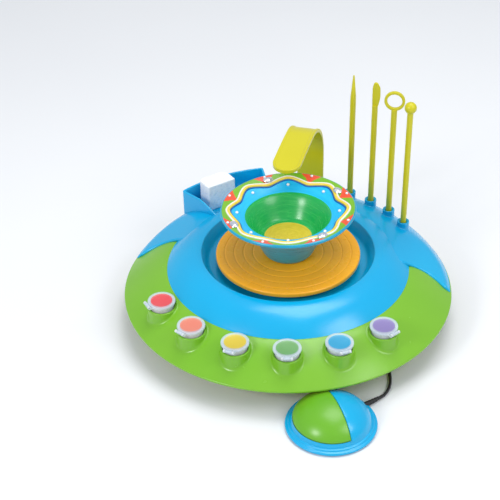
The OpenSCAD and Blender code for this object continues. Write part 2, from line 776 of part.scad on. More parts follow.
// Half-dome pad that the foot presses, with a boss over the spring
module pedal_pad() {
    h = pedal_top - dome_z + 0.5;
    color(GREEN) in_pedal() {
        intersection() {
            union() {
                dome_shell(dome_r + 0.4, h, 2.4);
                pipe(pad_r, pad_r - 2, pad_skirt_z, 12);
                block(-40, 40, pad_y - 2, pad_y, 9, 30);
            }
            dome_shell(dome_r + 0.4, h, 36);
            block(-50, 50, -50, pad_y, pad_skirt_z, 40);
            disc(pad_r, 0, 40);
        }
        translate([0, pedal_spring_y, 0]) pipe(5.6, 2.9, pad_boss_z, 21.5);
    }
}

module pedal_spring() {
    turns = 5;
    steps = 12;
    span = pad_boss_z - pedal_floor_z - 1.2;
    helix = [for (k = [0:turns * steps])
        [4.4 * cos(360 * k / steps), pedal_spring_y + 4.4 * sin(360 * k / steps),
         pedal_floor_z + 0.6 + span * k / (turns * steps)]];
    color(STEEL) in_pedal() tube_along(helix, 0.5, 6);
}

module pedal_switch() {
    color(DARK) in_pedal() {
        block(-7, 7, -9, -3, pedal_floor_z, 10);
        block(-2, 2, -7, -5, 10, 11);
    }
}

// Tapered sleeve round the cord where it leaves a casing, along +X
module relief(l, r0, r1) {
    rotate([0, 90, 0]) cylinder(r1 = r0, r2 = r1, h = l);
}

module pedal_strain_relief() {
    color(RUBBER) in_pedal() rotate([0, 0, cord_turn]) translate(relief_at) rotate([0, 0, 90]) {
        relief(relief_grip, relief_r, relief_r);
        translate([relief_grip, 0, 0]) relief(relief_l, relief_r, 1.8);
    }
}

module base_strain_relief() {
    color(RUBBER) rotate([0, 0, gland_turn]) translate([base_r - 6, 0, gland_z]) {
        relief(6, 3.8, 3.8);
        translate([6, 0, 0]) relief(gland_end_r - base_r, 3.6, 2);
    }
}

module pedal_cord() {
    color(RUBBER) {
        tube_along(cord_in, cord_r, 8);
        tube_along(cord_out, cord_r, 8);
    }
}

module cord_coil() {
    color(RUBBER) translate([coil_at[0], coil_at[1], 0]) rotate_extrude()
        translate([coil_r - coil_w / 2, 0]) square([coil_w, coil_h]);
}

// Strap round the coil's turns, on its far side
module cord_tie() {
    color("#d8d8d8") translate([coil_at[0], coil_at[1] + coil_r, 0]) difference() {
        block(-2, 2, -coil_w / 2 - 0.8, coil_w / 2 + 0.8, 0, coil_h + 0.8);
        block(-3, 3, -coil_w / 2, coil_w / 2, -1, coil_h);
    }
}

lower_base();
rubber_feet();
base_screws();
battery_door();
door_screw();
battery_cells();
battery_contacts();
gear_plate();
gear_cover();
gearbox_screws();
motor_case();
motor_shaft();
motor_pinion();
gear_axles();
compound_gear_1();
compound_gear_2();
output_gear();
drive_spindle();
bearing_bush();
deck();
upper_housing();
housing_screws();
turntable();
for (i = [1:POTS]) paint_pot(i);
for (i = [1:POTS]) pot_lid(i);
for (i = [1:POTS]) paint(i);
sponge();
for (i = [1:TOOLS]) modelling_tool(i);
overhead_arm();
bowl();
pedal_base();
pedal_feet();
pedal_screws();
pedal_dome();
pedal_pad();
pedal_spring();
pedal_switch();
pedal_strain_relief();
base_strain_relief();
pedal_cord();
cord_coil();
cord_tie();
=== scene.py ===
# %% [markdown]
# # A toy pottery wheel
#
# This notebook gives a battery pottery wheel its finished surfaces: a green deck, a blue housing,
# an orange turntable, a painted bowl, paint pots, tools, a sponge and a foot pedal on a cord. The
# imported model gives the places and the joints. Each new piece is a surface worked out with numpy,
# in millimetres, and each finish starts from what the real one is made of and how it was made.

import math

import bmesh
import bpy
import mathutils
import numpy as np
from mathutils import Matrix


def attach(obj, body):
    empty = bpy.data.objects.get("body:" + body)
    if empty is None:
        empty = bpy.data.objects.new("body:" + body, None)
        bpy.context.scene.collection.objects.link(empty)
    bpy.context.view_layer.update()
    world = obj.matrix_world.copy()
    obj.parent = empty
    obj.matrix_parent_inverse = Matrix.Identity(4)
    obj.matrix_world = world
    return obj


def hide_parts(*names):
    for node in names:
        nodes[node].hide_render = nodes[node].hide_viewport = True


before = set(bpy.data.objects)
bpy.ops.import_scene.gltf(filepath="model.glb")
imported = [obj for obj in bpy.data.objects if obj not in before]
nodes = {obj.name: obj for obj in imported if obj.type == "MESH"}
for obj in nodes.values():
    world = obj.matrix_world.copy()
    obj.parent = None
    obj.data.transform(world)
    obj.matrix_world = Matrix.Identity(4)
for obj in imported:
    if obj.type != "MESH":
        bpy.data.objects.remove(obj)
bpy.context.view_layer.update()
MM = 0.001

# %% [markdown]
# ## Camera, light and floor
#
# The camera looks down on this low round toy from a little to its right. A long lens keeps its
# circles near to ellipses. Two softboxes at the front and one overhead give glossy plastic its
# broad, soft highlights. Everything else is a pale room.

# %% Camera
AZIMUTH, ELEVATION, DISTANCE = 10.5, 37.37, 1.2454
LENS, SENSOR, SHIFT = 90.0, 36.0, (-0.0762, 0.113)
AIM = np.array([0.0, 0.0, 0.002])


def direction(azimuth, elevation):
    """Unit vector from the object towards a camera, for angles in degrees."""
    a, e = math.radians(azimuth), math.radians(elevation)
    return np.array([math.sin(a) * math.cos(e), -math.cos(a) * math.cos(e), math.sin(e)])


def shown(name, data):
    """A new object in the scene."""
    made = bpy.data.objects.new(name, data)
    bpy.context.scene.collection.objects.link(made)
    return made


def aimed(thing, place, target):
    """Puts a camera or a light at a place, looking at the target."""
    thing.location = place
    look = mathutils.Vector(np.asarray(target) - np.asarray(place))
    thing.rotation_euler = look.to_track_quat("-Z", "Y").to_euler()


camera = shown("camera", bpy.data.cameras.new("camera"))
camera.data.lens, camera.data.sensor_width = LENS, SENSOR
camera.data.shift_x, camera.data.shift_y = SHIFT
aimed(camera, AIM + DISTANCE * direction(AZIMUTH, ELEVATION), AIM)
bpy.context.scene.camera = camera
bpy.context.scene.view_settings.view_transform = "Standard"


# %% Colours and nodes
def linear(hexa):
    """An sRGB hex colour as linear RGBA, by the standard curve."""
    c = np.array([int(hexa[i:i + 2], 16) for i in (1, 3, 5)]) / 255
    c = np.where(c <= 0.04045, c / 12.92, ((c + 0.055) / 1.055) ** 2.4)
    return (*c, 1.0)


def feed(tree, node, inputs):
    """Gives a node's inputs their values, or links from sockets."""
    for name, value in inputs.items():
        if isinstance(value, bpy.types.NodeSocket):
            tree.links.new(value, node.inputs[name])
        else:
            node.inputs[name].default_value = value


def add(tree, kind, inputs=None, **settings):
    """Adds one shader node with its settings and its inputs."""
    made = tree.nodes.new("ShaderNode" + kind)
    for name, value in settings.items():
        setattr(made, name, value)
    feed(tree, made, inputs or {})
    return made


def blank(name):
    """A new material, its tree, its Principled shader and its object coordinates."""
    made = bpy.data.materials.new(name)
    made.use_nodes = True
    tree = made.node_tree
    return made, tree, tree.nodes["Principled BSDF"], add(tree, "TexCoord").outputs["Object"]


def two_tones(tree, factor, low, high):
    """Colour socket that goes from one sRGB hex colour to another with a factor socket."""
    mix = add(tree, "Mix", {"Factor": factor}, data_type="RGBA")
    mix.inputs[6].default_value, mix.inputs[7].default_value = linear(low), linear(high)
    return mix.outputs[2]


def noise(tree, place, scale, **inputs):
    """Socket of a noise texture."""
    return add(tree, "TexNoise", {"Vector": place, "Scale": scale, **inputs}).outputs["Fac"]


def mapped(tree, value, low, high):
    """Socket that stretches 0 to 1 into low to high."""
    return add(tree, "MapRange", {"Value": value, "To Min": low, "To Max": high}).outputs["Result"]


def relief(tree, height, strength, distance):
    """Normal socket of a bump whose full height is distance, in metres."""
    return add(tree, "Bump", {"Height": height, "Strength": strength,
                              "Distance": distance}).outputs["Normal"]


# %% Lights and floor
def softbox(name, azimuth, elevation, distance, size, watts):
    """A square area light on a sphere round the wheel, aimed at it."""
    lamp = bpy.data.lights.new(name, "AREA")
    lamp.size, lamp.energy = size, watts
    aimed(shown(name, lamp), distance * direction(azimuth, elevation), (0, 0, 0.05))


softbox("left_softbox", -34, 34, 1.5, 0.35, 7)
softbox("right_softbox", 66, 44, 1.5, 0.6, 5.5)
softbox("top_softbox", 150, 80, 1.6, 0.9, 11)
world = bpy.data.worlds.new("pale_room")
world.use_nodes = True
feed(world.node_tree, world.node_tree.nodes["Background"],
     {"Color": linear("#f2f5fa"), "Strength": 0.58})
bpy.context.scene.world = world

floor_mesh = bpy.data.meshes.new("floor")
floor_mesh.from_pydata([(-8, -8, 0), (8, -8, 0), (8, 8, 0), (-8, 8, 0)], [], [(0, 1, 2, 3)])
floor = shown("floor", floor_mesh)
paper, tree, shader, place = blank("seamless_paper")
feed(tree, shader, {"Base Color": two_tones(tree, noise(tree, place, 3.0), "#e9ebee", "#eff1f3"),
                    "Roughness": 0.7})
floor_mesh.materials.append(paper)

# %% [markdown]
# ## Surfaces from grids
#
# Nearly every piece here is turned, swept or pressed, so it is a grid of points: one index walks
# along a profile and the other walks round. Numpy works out a whole grid at once. These helpers
# round a profile's corners, turn it round an axis, carry it along a path, and put grids into a
# mesh.


# %% Profiles and grids
def rounded(corners, radius, closed=False, steps=5):
    """Polyline whose corners are quadratic curves: (1-s)^2 a + 2 s (1-s) corner + s^2 b."""
    p = np.asarray(corners, float)
    radius, s, made = np.broadcast_to(radius, len(p)), np.linspace(0, 1, steps + 1)[:, None], []
    for i, corner in enumerate(p):
        if radius[i] == 0 or (not closed and i in (0, len(p) - 1)):
            made.append(corner[None])
            continue
        a, b = p[i - 1] - corner, p[(i + 1) % len(p)] - corner
        la, lb = np.linalg.norm(a), np.linalg.norm(b)
        d = min(radius[i], 0.49 * la, 0.49 * lb)
        made.append((1 - s) ** 2 * (corner + a / la * d) + 2 * s * (1 - s) * corner
                    + s ** 2 * (corner + b / lb * d))
    return np.concatenate(made)


def unit(vectors):
    """Vectors divided by their lengths."""
    return vectors / np.linalg.norm(vectors, axis=-1, keepdims=True)


def corner(radius, angle):
    """Point (x, y) at a radius and an angle in degrees."""
    return [radius * math.cos(math.radians(angle)), radius * math.sin(math.radians(angle))]


def circular(r, t, z=0.0):
    """Points (r cos t, r sin t, z)."""
    return np.stack(np.broadcast_arrays(r * np.cos(t), r * np.sin(t), z), axis=-1)


def polar(profile, angles):
    """Surface of revolution over chosen angles, from profile points (r, z)."""
    r, z = np.asarray(profile, float).T[..., None]
    return circular(r, angles, z)


def turned(profile, steps=192):
    """Surface of revolution all the way round, in equal steps."""
    return polar(profile, np.linspace(0, 2 * np.pi, steps, endpoint=False))


def put(points, x=0.0, y=0.0, z=0.0, turn=0.0):
    """Points turned about Z by an angle in degrees, then moved."""
    c, s = math.cos(math.radians(turn)), math.sin(math.radians(turn))
    return points @ np.array([[c, s, 0], [-s, c, 0], [0, 0, 1]]) + np.array([x, y, z])


def carried(path, section, side, lift):
    """Section points (a, b) carried along a path: p + a side + b lift."""
    a, b = np.asarray(section, float).T[:, None, :, None]
    return path[:, None] + a * side[:, None] + b * lift[:, None]


def capped(points):
    """The same grid with its two end rows closed to their middles."""
    ends = [np.broadcast_to(points[i].mean(axis=0), points[i].shape)[None] for i in (0, -1)]
    return np.concatenate([ends[0], points, ends[1]])


def ring_of(radius, sides=16):
    """Points (a, b) of a circle, as a section for a tube."""
    return radius * circular(1.0, np.linspace(0, 2 * np.pi, sides, endpoint=False))[:, :2]


def block(outline, z0, z1, edge=0.6, steps=4):
    """Solid on a convex outline (x, y): rows shrink by edge (1 - sin b) where z rounds by edge."""
    p = np.asarray(outline, float)
    t = np.roll(p, -1, axis=0) - np.roll(p, 1, axis=0)
    out = unit(np.stack([t[:, 1], -t[:, 0]], axis=1))
    b = np.linspace(0, np.pi / 2, steps + 1)
    inset = edge * np.concatenate([1 - np.sin(b), 1 - np.sin(b[::-1])])
    z = np.concatenate([z0 + edge * (1 - np.cos(b)), z1 - edge * (1 - np.cos(b[::-1]))])
    rows = p[None] - inset[:, None, None] * out[None]
    return capped(np.concatenate([rows, np.broadcast_to(z[:, None, None], (*rows.shape[:2], 1))],
                                 axis=2))


def box_outline(x0, x1, y0, y1, radius=1.0):
    """Anticlockwise rectangle with rounded corners."""
    return rounded([(x0, y0), (x1, y0), (x1, y1), (x0, y1)], radius, closed=True)


# %% Skins and pieces
def skin(points, use=0, closed=True, loop=False, keep=None):
    """Quads of a grid whose rows go round; closed ones face outwards by their volume."""
    points = np.asarray(points, float)
    n, m = points.shape[:2]
    i, j = np.meshgrid(np.arange(n if loop else n - 1), np.arange(m), indexing="ij")
    k, l = (i + 1) % n, (j + 1) % m
    quads = np.stack([i * m + j, k * m + j, k * m + l, i * m + l], axis=2)
    if closed:
        a, b, c, d = (points.reshape(-1, 3)[quads[..., q]] for q in range(4))
        volume = (np.cross(b - a, c - a) * a).sum() + (np.cross(c - a, d - a) * a).sum()
        quads = quads[..., ::-1] if volume < 0 else quads
    quads = quads.reshape(-1, 4) if keep is None else quads[keep]
    return points, quads, use


def strip(points, use=0, keep=None):
    """Quads of a grid that is open both ways, facing along (down the rows) x (along a row)."""
    points = np.asarray(points, float)
    n, m = points.shape[:2]
    i, j = np.meshgrid(np.arange(n - 1), np.arange(m - 1), indexing="ij")
    quads = np.stack([i * m + j, (i + 1) * m + j, (i + 1) * m + j + 1, i * m + j + 1], axis=2)
    return points, quads.reshape(-1, 4) if keep is None else quads[keep], use


made_pieces = {}


def piece(name, skins, finishes, body, stands_for=(), sharp=42, wall=0.0):
    """Joins skins into one mesh with merged seams and finishes, and lets it ride on its body."""
    points, quads, uses, first = [], [], [], 0
    for p, q, use in skins:
        points.append(p.reshape(-1, 3) * MM)
        quads.append(q + first)
        uses.append(np.full(len(q), use))
        first += p.size // 3
    mesh = bpy.data.meshes.new(name)
    mesh.from_pydata(np.concatenate(points).tolist(), [], np.concatenate(quads).tolist())
    mesh.polygons.foreach_set("material_index", np.concatenate(uses).astype(np.int32))
    work = bmesh.new()
    work.from_mesh(mesh)
    bmesh.ops.remove_doubles(work, verts=work.verts, dist=2e-6)
    work.to_mesh(mesh)
    work.free()
    mesh.polygons.foreach_set("use_smooth", np.ones(len(mesh.polygons), bool))
    mesh.set_sharp_from_angle(angle=math.radians(sharp))
    made = shown(name, mesh)
    for finish in finishes if isinstance(finishes, (list, tuple)) else [finishes]:
        mesh.materials.append(finish)
    if wall:
        shell = made.modifiers.new("wall", "SOLIDIFY")
        shell.thickness, shell.offset = wall * MM, -1
    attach(made, body)
    if stands_for:
        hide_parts(*stands_for)
    made_pieces[name] = len(mesh.polygons)
    return made


# %% [markdown]
# ## The cord
#
# The lead between pedal and base is a thin black PVC flex. It leaves the pedal under the deck's
# rim, lies on the table, is wound into a neat two-layer coil under the deck, and rises into the
# base's gland. It is a curve with a round bevel, so the length of its line is its true length.

# %% Route of the cord, in millimetres
CORD_R, COIL_AT = 1.5, (128.0, 14.0)
COIL_OUT, COIL_IN, LOW_Z, HIGH_Z = 21.5, 12.5, 1.6, 4.6
cord_in = [
    (105.5, -121.4, 3), (107.5, -119, 2.6), (110, -115, 1.8), (112, -110, 1.6), (113.5, -104, 1.6),
    (113.8, -97, 1.6), (113, -90, 1.6), (111.5, -82, 1.6), (110, -73, 1.6), (108.8, -63, 1.6),
    (108, -52, 1.6), (107.4, -41, 1.6), (107, -30, 1.6), (106.7, -19, 1.6), (106.5, -8, 1.6),
    (106.5, 3, 1.6)]
cord_out = [
    (106.6, 22, 4.4), (107.2, 30, 3.4), (108.6, 38, 2), (110, 45, 1.6), (111, 52, 1.6),
    (111.4, 59, 1.6), (110.8, 66, 1.6), (109, 72.5, 1.9), (106, 78, 2.9), (102, 81.6, 4.6),
    (97.5, 83, 6.5), (92.8, 81.8, 8.2), (88.6, 79.2, 8.9), (84.72, 76.28, 9)]

# %% Coil: three turns inwards, one turn that climbs, three turns outwards
turn = np.arange(0, 7 + 1e-9, 1 / 36)
coil_r = np.interp(turn, [0, 3, 4, 7], [COIL_OUT, COIL_IN, COIL_IN, COIL_OUT])
climb = np.clip(turn - 3, 0, 1)
coil_z = LOW_Z + (HIGH_Z - LOW_Z) * np.sqrt(1 - (1 - climb) ** 2)
coil_a = np.radians(180 - 360 * turn)
coil_points = np.stack([COIL_AT[0] + coil_r * np.cos(coil_a), COIL_AT[1] + coil_r * np.sin(coil_a),
                        coil_z], axis=1)
route = np.concatenate([cord_in, coil_points, cord_out])

# %% Cord finish: PVC flex, satin from its extrusion
pvc, tree, shader, place = blank("pvc_flex")
grain = noise(tree, place, 900.0, Detail=2.0)
feed(tree, shader, {"Base Color": two_tones(tree, grain, "#1b1b1e", "#2a2a2e"), "Roughness": 0.38,
                    "Normal": relief(tree, grain, 0.25, 0.0001)})

# %% Cord piece
curve = bpy.data.curves.new("pedal_cord_line", "CURVE")
curve.dimensions, curve.bevel_depth, curve.bevel_resolution = "3D", CORD_R * MM, 3
curve.use_fill_caps = True
line = curve.splines.new("POLY")
line.points.add(len(route) - 1)
line.points.foreach_set("co", np.column_stack([route * MM, np.ones(len(route))]).ravel())
line.use_smooth = True
curve.materials.append(pvc)
flex = shown("cord_flex", curve)
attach(flex, "base")
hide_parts("pedal_cord", "cord_coil")

# %% [markdown]
# ## Finishes
#
# The wheel is moulded ABS: coloured right through, glossy from a polished tool, with a faint
# ripple that only its highlights show. A slow drift of tone stands for how thick walls cool. The
# other finishes are variations that the cells below name for what they are.


# %% Moulded plastics
def moulded(name, low, high, roughness=0.24, peel=0.35, drift=14.0, peel_mm=1.1):
    """Gloss plastic: tone drifts between two colours over 1 / drift metres, over a fine ripple."""
    made, tree, shader, place = blank(name)
    slow = noise(tree, place, drift, Detail=1.0)
    wear = noise(tree, place, 60.0, Detail=4.0)
    ripple = noise(tree, place, 1000 / peel_mm)
    feed(tree, shader, {"Base Color": two_tones(tree, slow, low, high), "IOR": 1.52,
                        "Roughness": mapped(tree, wear, roughness - 0.05, roughness + 0.07),
                        "Normal": relief(tree, ripple, peel, 0.00003)})
    return made


green_abs = moulded("green_abs", "#6fb21f", "#80ba32")
blue_abs = moulded("blue_abs", "#00a0d8", "#02b0e2", 0.22)
orange_abs = moulded("orange_abs", "#f2a21b", "#f6b02a", 0.3)
yellow_abs = moulded("yellow_abs", "#c8c00c", "#d3cb18", 0.3)
pedal_green = moulded("pedal_green_abs", "#5ea81c", "#6eb228", 0.3)
natural_nylon = moulded("natural_nylon", "#e4e0d0", "#eeebdf", 0.42)
dark_abs = moulded("dark_abs", "#2b2c31", "#34363b", 0.45)
rubber = moulded("foot_rubber", "#1f1f21", "#2c2c2f", 0.62, 0.6, 60.0, 0.8)


# %% Metals
def drawn_metal(name, low, high, roughness):
    """Bare metal: noise squeezed along Z streaks its tone and its roughness."""
    made, tree, shader, place = blank(name)
    stretched = add(tree, "Mapping", {"Vector": place, "Scale": (40.0, 40.0, 900.0)})
    lines = noise(tree, stretched.outputs["Vector"], 4.0, Detail=3.0)
    feed(tree, shader, {"Base Color": two_tones(tree, lines, low, high), "Metallic": 1.0,
                        "Roughness": mapped(tree, lines, roughness - 0.06, roughness + 0.1)})
    return made


zinc_steel = drawn_metal("zinc_steel", "#a9adb2", "#c9ccd0", 0.3)
turned_brass = drawn_metal("turned_brass", "#b8923c", "#d9b65c", 0.28)
sintered_bush = drawn_metal("sintered_bush", "#7e8085", "#97999e", 0.45)

# %% [markdown]
# ## The deck
#
# The deck is a domed green shell with a rolled lip. Six collars round wells hold the paint pots. A
# plain revolved dome can't have holes, so each well has its own patch: rings that are circles at
# the well and become a piece of the polar grid at the patch's edge. Solidify gives the wall.

# %% Heights of the deck
DECK_R, DECK_FLAT, DECK_DROP, RING_FOOT, DECK_EDGE = 160.0, 54.0, 25.0, 117.0, 27.0
POT_R, POT_STEP, POTS = 134.0, 20.3, 6
WELL_R, COLLAR_R, COLLAR_TOP, WELL_FLOOR, FILLET = 11.5, 13.8, 52.0, 38.0, 2
CELL_IN, CELL_OUT, PER_CELL, PER_SIDE, LIP_R = 116.5, 152.0, 20, 15, 157.6


def deck_top(r):
    """Height of the dome at a radius: flat, then falling with the 1.25th power to the rim."""
    share = np.maximum(0, np.asarray(r, float) - RING_FOOT) / (DECK_R - RING_FOOT)
    return DECK_FLAT - DECK_DROP * share ** 1.25


def on_deck(x, y, lift=0.0):
    """Points at (x, y) on the dome's surface, raised by lift."""
    return np.stack([x, y, deck_top(np.hypot(x, y)) + lift], axis=-1)


pot_angles = -90 + POT_STEP * (np.arange(POTS) - (POTS - 1) / 2)

# %% Patch round a well
well_profile = rounded([(0, WELL_FLOOR), (WELL_R, WELL_FLOOR), (WELL_R, COLLAR_TOP),
                        (COLLAR_R, COLLAR_TOP), (COLLAR_R, COLLAR_TOP - 3)], [0, 1.2, 0.7, 0.9, 0])


def well_patch(angle):
    """Rows from the well's middle out: its profile, a fillet, then circles that become the cell."""
    a0, a1 = np.radians(angle - POT_STEP / 2), np.radians(angle + POT_STEP / 2)
    across, along = np.linspace(a0, a1, PER_CELL + 1), np.linspace(CELL_IN, CELL_OUT, PER_SIDE + 1)
    r = np.concatenate([np.full(PER_CELL, CELL_IN), along[:-1], np.full(PER_CELL, CELL_OUT),
                        along[:0:-1]])
    t = np.concatenate([across[:-1], np.full(PER_SIDE, a1), across[:0:-1], np.full(PER_SIDE, a0)])
    edge = circular(r, t)[::-1, :2]
    middle = np.array(corner(POT_R, angle))
    out = edge - middle
    reach = np.linalg.norm(out, axis=1)
    out = out / reach[:, None]
    inner = np.stack([np.concatenate([middle + rho * out, np.full((len(out), 1), z)], axis=1)
                      for rho, z in well_profile])
    fillet = [on_deck(*(middle + (COLLAR_R + FILLET * (1 - math.cos(b))) * out).T,
                      FILLET * (1 - math.sin(b))) for b in np.linspace(0, np.pi / 2, 6)]
    share = np.linspace(0, 1, 9)[1:, None]
    start = COLLAR_R + FILLET
    outer = [on_deck(*(middle + (start + (reach[:, None] - start) * s) * out).T) for s in share]
    return np.concatenate([inner, fillet, outer])


# %% Deck piece
wells_from, wells_to = pot_angles[0] - POT_STEP / 2, pot_angles[-1] + POT_STEP / 2
front = np.linspace(wells_from, wells_to, POTS * PER_CELL + 1)[:-1]
back = np.linspace(wells_to, wells_from + 360, 180)
around = np.radians(np.concatenate([front, back[:-1]]))
band_r = np.linspace(CELL_IN, CELL_OUT, PER_SIDE + 1)
plate_rows = polar([(r, DECK_FLAT) for r in (30, 80, 110, CELL_IN)], around)
band_rows = polar(np.stack([band_r, deck_top(band_r)], axis=1), np.radians(back))
last_r = np.linspace(CELL_OUT, LIP_R, 6)
lip = rounded([(LIP_R, deck_top(LIP_R)), (159.7, deck_top(LIP_R) - 1.4), (159.9, DECK_EDGE + 1.6),
               (159.6, DECK_EDGE), (157.2, DECK_EDGE), (156.6, DECK_EDGE + 1.2)], 1.2)
rim_rows = polar(np.concatenate([np.stack([last_r, deck_top(last_r)], axis=1), lip[1:]]), around)
piece("deck_shell",
      [skin(plate_rows, closed=False), strip(band_rows), skin(rim_rows, closed=False)]
      + [skin(well_patch(a), closed=False) for a in pot_angles],
      green_abs, "base", ["deck"], wall=1.1, sharp=50)
print("deck faces:", made_pieces["deck_shell"])

# %% [markdown]
# ## The blue housing
#
# A splash ring surrounds the turntable. Behind it two wings sweep down to the deck's rim, cut by a
# flat roof on each side, and carry a sponge tray, four tool sockets and the arm's turret. The ring
# is turned. The wings are one height field whose rows are arcs, cut off at the front by a curved
# edge.

# %% Ring
CREST_R, CREST_Z, PAN_R, PAN_Z, PAN_T = 85.5, 71.5, 77.4, 58.0, 2.4
HUB_R, HUB_Z, BUSH_R = 12.5, 61.0, 8.06


def ring_top(r):
    """Outer slope of the ring: falls from the crest with the 1.8th power of the distance."""
    share = (np.asarray(r, float) - CREST_R) / (RING_FOOT - CREST_R)
    return DECK_FLAT + (CREST_Z - DECK_FLAT) * (1 - np.maximum(share, 0) ** 1.8)


slope_r = np.linspace(CREST_R, RING_FOOT - 0.6, 30)
inner_wall = rounded([(BUSH_R, HUB_Z), (HUB_R, HUB_Z), (HUB_R, PAN_Z), (PAN_R, PAN_Z),
                      (82.2, CREST_Z - 3), (83.4, CREST_Z + 0.1), (CREST_R, CREST_Z)],
                     [0, 0.6, 1, 4, 3, 1.4, 0], steps=8)
underside = rounded([(RING_FOOT, DECK_FLAT + 0.1), (RING_FOOT - 3, DECK_FLAT + 0.02), (108, 60),
                     (96, 66.6), (84.6, 68.5), (81.6, PAN_Z), (80, PAN_Z - PAN_T),
                     (HUB_R, PAN_Z - PAN_T), (BUSH_R, PAN_Z - PAN_T)], 1.0)
outer_slope = np.stack([slope_r, ring_top(slope_r)], axis=1)[1:]
ring_profile = np.concatenate([inner_wall, outer_slope, underside])
ring_skins = [skin(turned(ring_profile, 256), loop=True)]

# %% Height of the wings
WING = np.array([(97, 66), (104, 66.3), (115, 64.2), (127, 60.5), (136, 55.5), (146, 47),
                 (153, 39.5), (158, 31.8)])
wing_curve = np.polynomial.Polynomial.fit(WING[:, 0], WING[:, 1], 4)
ROOF_Z, ROOF_SLOPE, SOFT, WING_Y = 121.0, 0.55, 0.9, 14.0
CUT_R, CUT_AT = 39.2, (130.1, -19.2)


def wing_top(x, y):
    """Smaller of a turned curve and a sloping roof, with a crease softened over about SOFT."""
    turned_z = wing_curve(np.clip(np.hypot(x, y), 97, 158))
    roof = ROOF_Z - ROOF_SLOPE * np.abs(x)
    return -SOFT * np.log(np.exp((60 - turned_z) / SOFT) + np.exp((60 - roof) / SOFT)) + 60


def front_edge(x, grow=0.0):
    """Smallest y of the wing at |x|: straight, with a round bite at its tip."""
    bite = np.sqrt(np.maximum(0, (CUT_R + grow) ** 2 - (np.abs(x) - CUT_AT[0]) ** 2))
    return np.maximum(WING_Y + grow, CUT_AT[1] + bite)


# %% Rows of the wings
EDGE = 1.8
TRAY_A, TRAY_WALL, TRAY_OUT, TRAY_FLOOR = (110.9, 148.8), 1.2, 145.6, 56.8
hole_from, hole_to, middle_r = TRAY_A[0] + 0.5, TRAY_A[1] - 0.5, TRAY_OUT - TRAY_WALL
wing_r = np.unique(np.concatenate([np.linspace(97, middle_r, 44),
                                   np.linspace(middle_r, 157.7, 12)]))


def first_angle(r):
    """Angle at which the circle of radius r meets the front edge, by repeated substitution."""
    y = np.full_like(r, WING_Y)
    for _ in range(60):
        y = 0.5 * y + 0.5 * front_edge(np.sqrt(r ** 2 - y ** 2), EDGE)
    return np.degrees(np.arcsin(y / r))


start = first_angle(wing_r)
stops = [start, np.full_like(start, hole_from), np.full_like(start, hole_to), 180 - start]
angles = np.concatenate(
    [a[:, None] + (b - a)[:, None] * np.linspace(0, 1, n + 1)[None, int(i > 0):]
     for i, (a, b, n) in enumerate(zip(stops, stops[1:], (110, 40, 30)))], axis=1)
top = circular(wing_r[:, None], np.radians(angles))
top[..., 2] = wing_top(top[..., 0], top[..., 1])


# %% Front edges and outer edge of the wings
def edge_rows(edge):
    """Quarter circle of radius EDGE outwards from an edge, then a wall down to the deck."""
    along = np.gradient(edge[:, :2], axis=0)
    out = unit(np.stack([along[:, 1], -along[:, 0]], axis=1))
    out *= np.where(out[:, 1:] > 0, -1.0, 1.0)
    height = edge[:, 2] - deck_top(np.hypot(edge[:, 0], edge[:, 1]))
    radius = np.minimum(EDGE, 0.8 * height)
    rows = []
    for b in np.linspace(0, np.pi / 2, 7)[1:]:
        rows.append(np.column_stack([edge[:, :2] + out * (radius * math.sin(b))[:, None],
                                     edge[:, 2] - radius * (1 - math.cos(b))]))
    foot = rows[-1].copy()
    foot[:, 2] = deck_top(np.hypot(foot[:, 0], foot[:, 1])) + 0.05
    return np.stack([*rows, foot], axis=1)


right, left = edge_rows(top[:, 0]), edge_rows(top[:, -1])
wing_grid = np.concatenate([right[:, ::-1], top, left], axis=1)
last = wing_grid[-1]
last_r = np.hypot(last[:, 0], last[:, 1])
rim = []
for grow, drop in ((0.45, 0.25), (0.7, 0.75)):
    row = last * np.array([1, 1, 0]) * (1 + grow / last_r)[:, None]
    row[:, 2] = np.maximum(last[:, 2] - drop, deck_top(last_r + grow) + 0.05)
    rim.append(row)
row = rim[-1].copy()
row[:, 2] = np.minimum(row[:, 2], deck_top(last_r + 0.7) + 0.05)
wing_grid = np.concatenate([wing_grid, np.stack([*rim, row])])

# %% Openings in the wings for the tray, the sockets and the turret
TOOL_R, TOOLS, SOCKET_R, SOCKET_Z, SOCKET_FLOOR, STEM_R = 127.5, 4, 6.0, 68.0, 53.5, 2.9
ARM_Y, TURRET_R, TURRET_Z, PEG_R = 127.0, 14.5, 66.0, 8.0
tool_angles = 70.4 - 11.45 * np.arange(TOOLS)
sockets = [(*corner(TOOL_R, a), 4.4) for a in tool_angles] + [(0.0, ARM_Y, 11.0)]
centre = (wing_grid[:-1, :-1] + wing_grid[1:, 1:]) / 2
keep = np.ones(centre.shape[:2], bool)
for sx, sy, sr in sockets:
    keep &= np.hypot(centre[..., 0] - sx, centre[..., 1] - sy) > sr
bearing = np.degrees(np.arctan2(centre[..., 1], centre[..., 0]))
keep &= ~((bearing > hole_from) & (bearing < hole_to)
          & (np.hypot(centre[..., 0], centre[..., 1]) < middle_r))
piece("housing_wings", [strip(wing_grid, keep=keep)], blue_abs, "base",
      ["upper_housing"], wall=1.6, sharp=50)

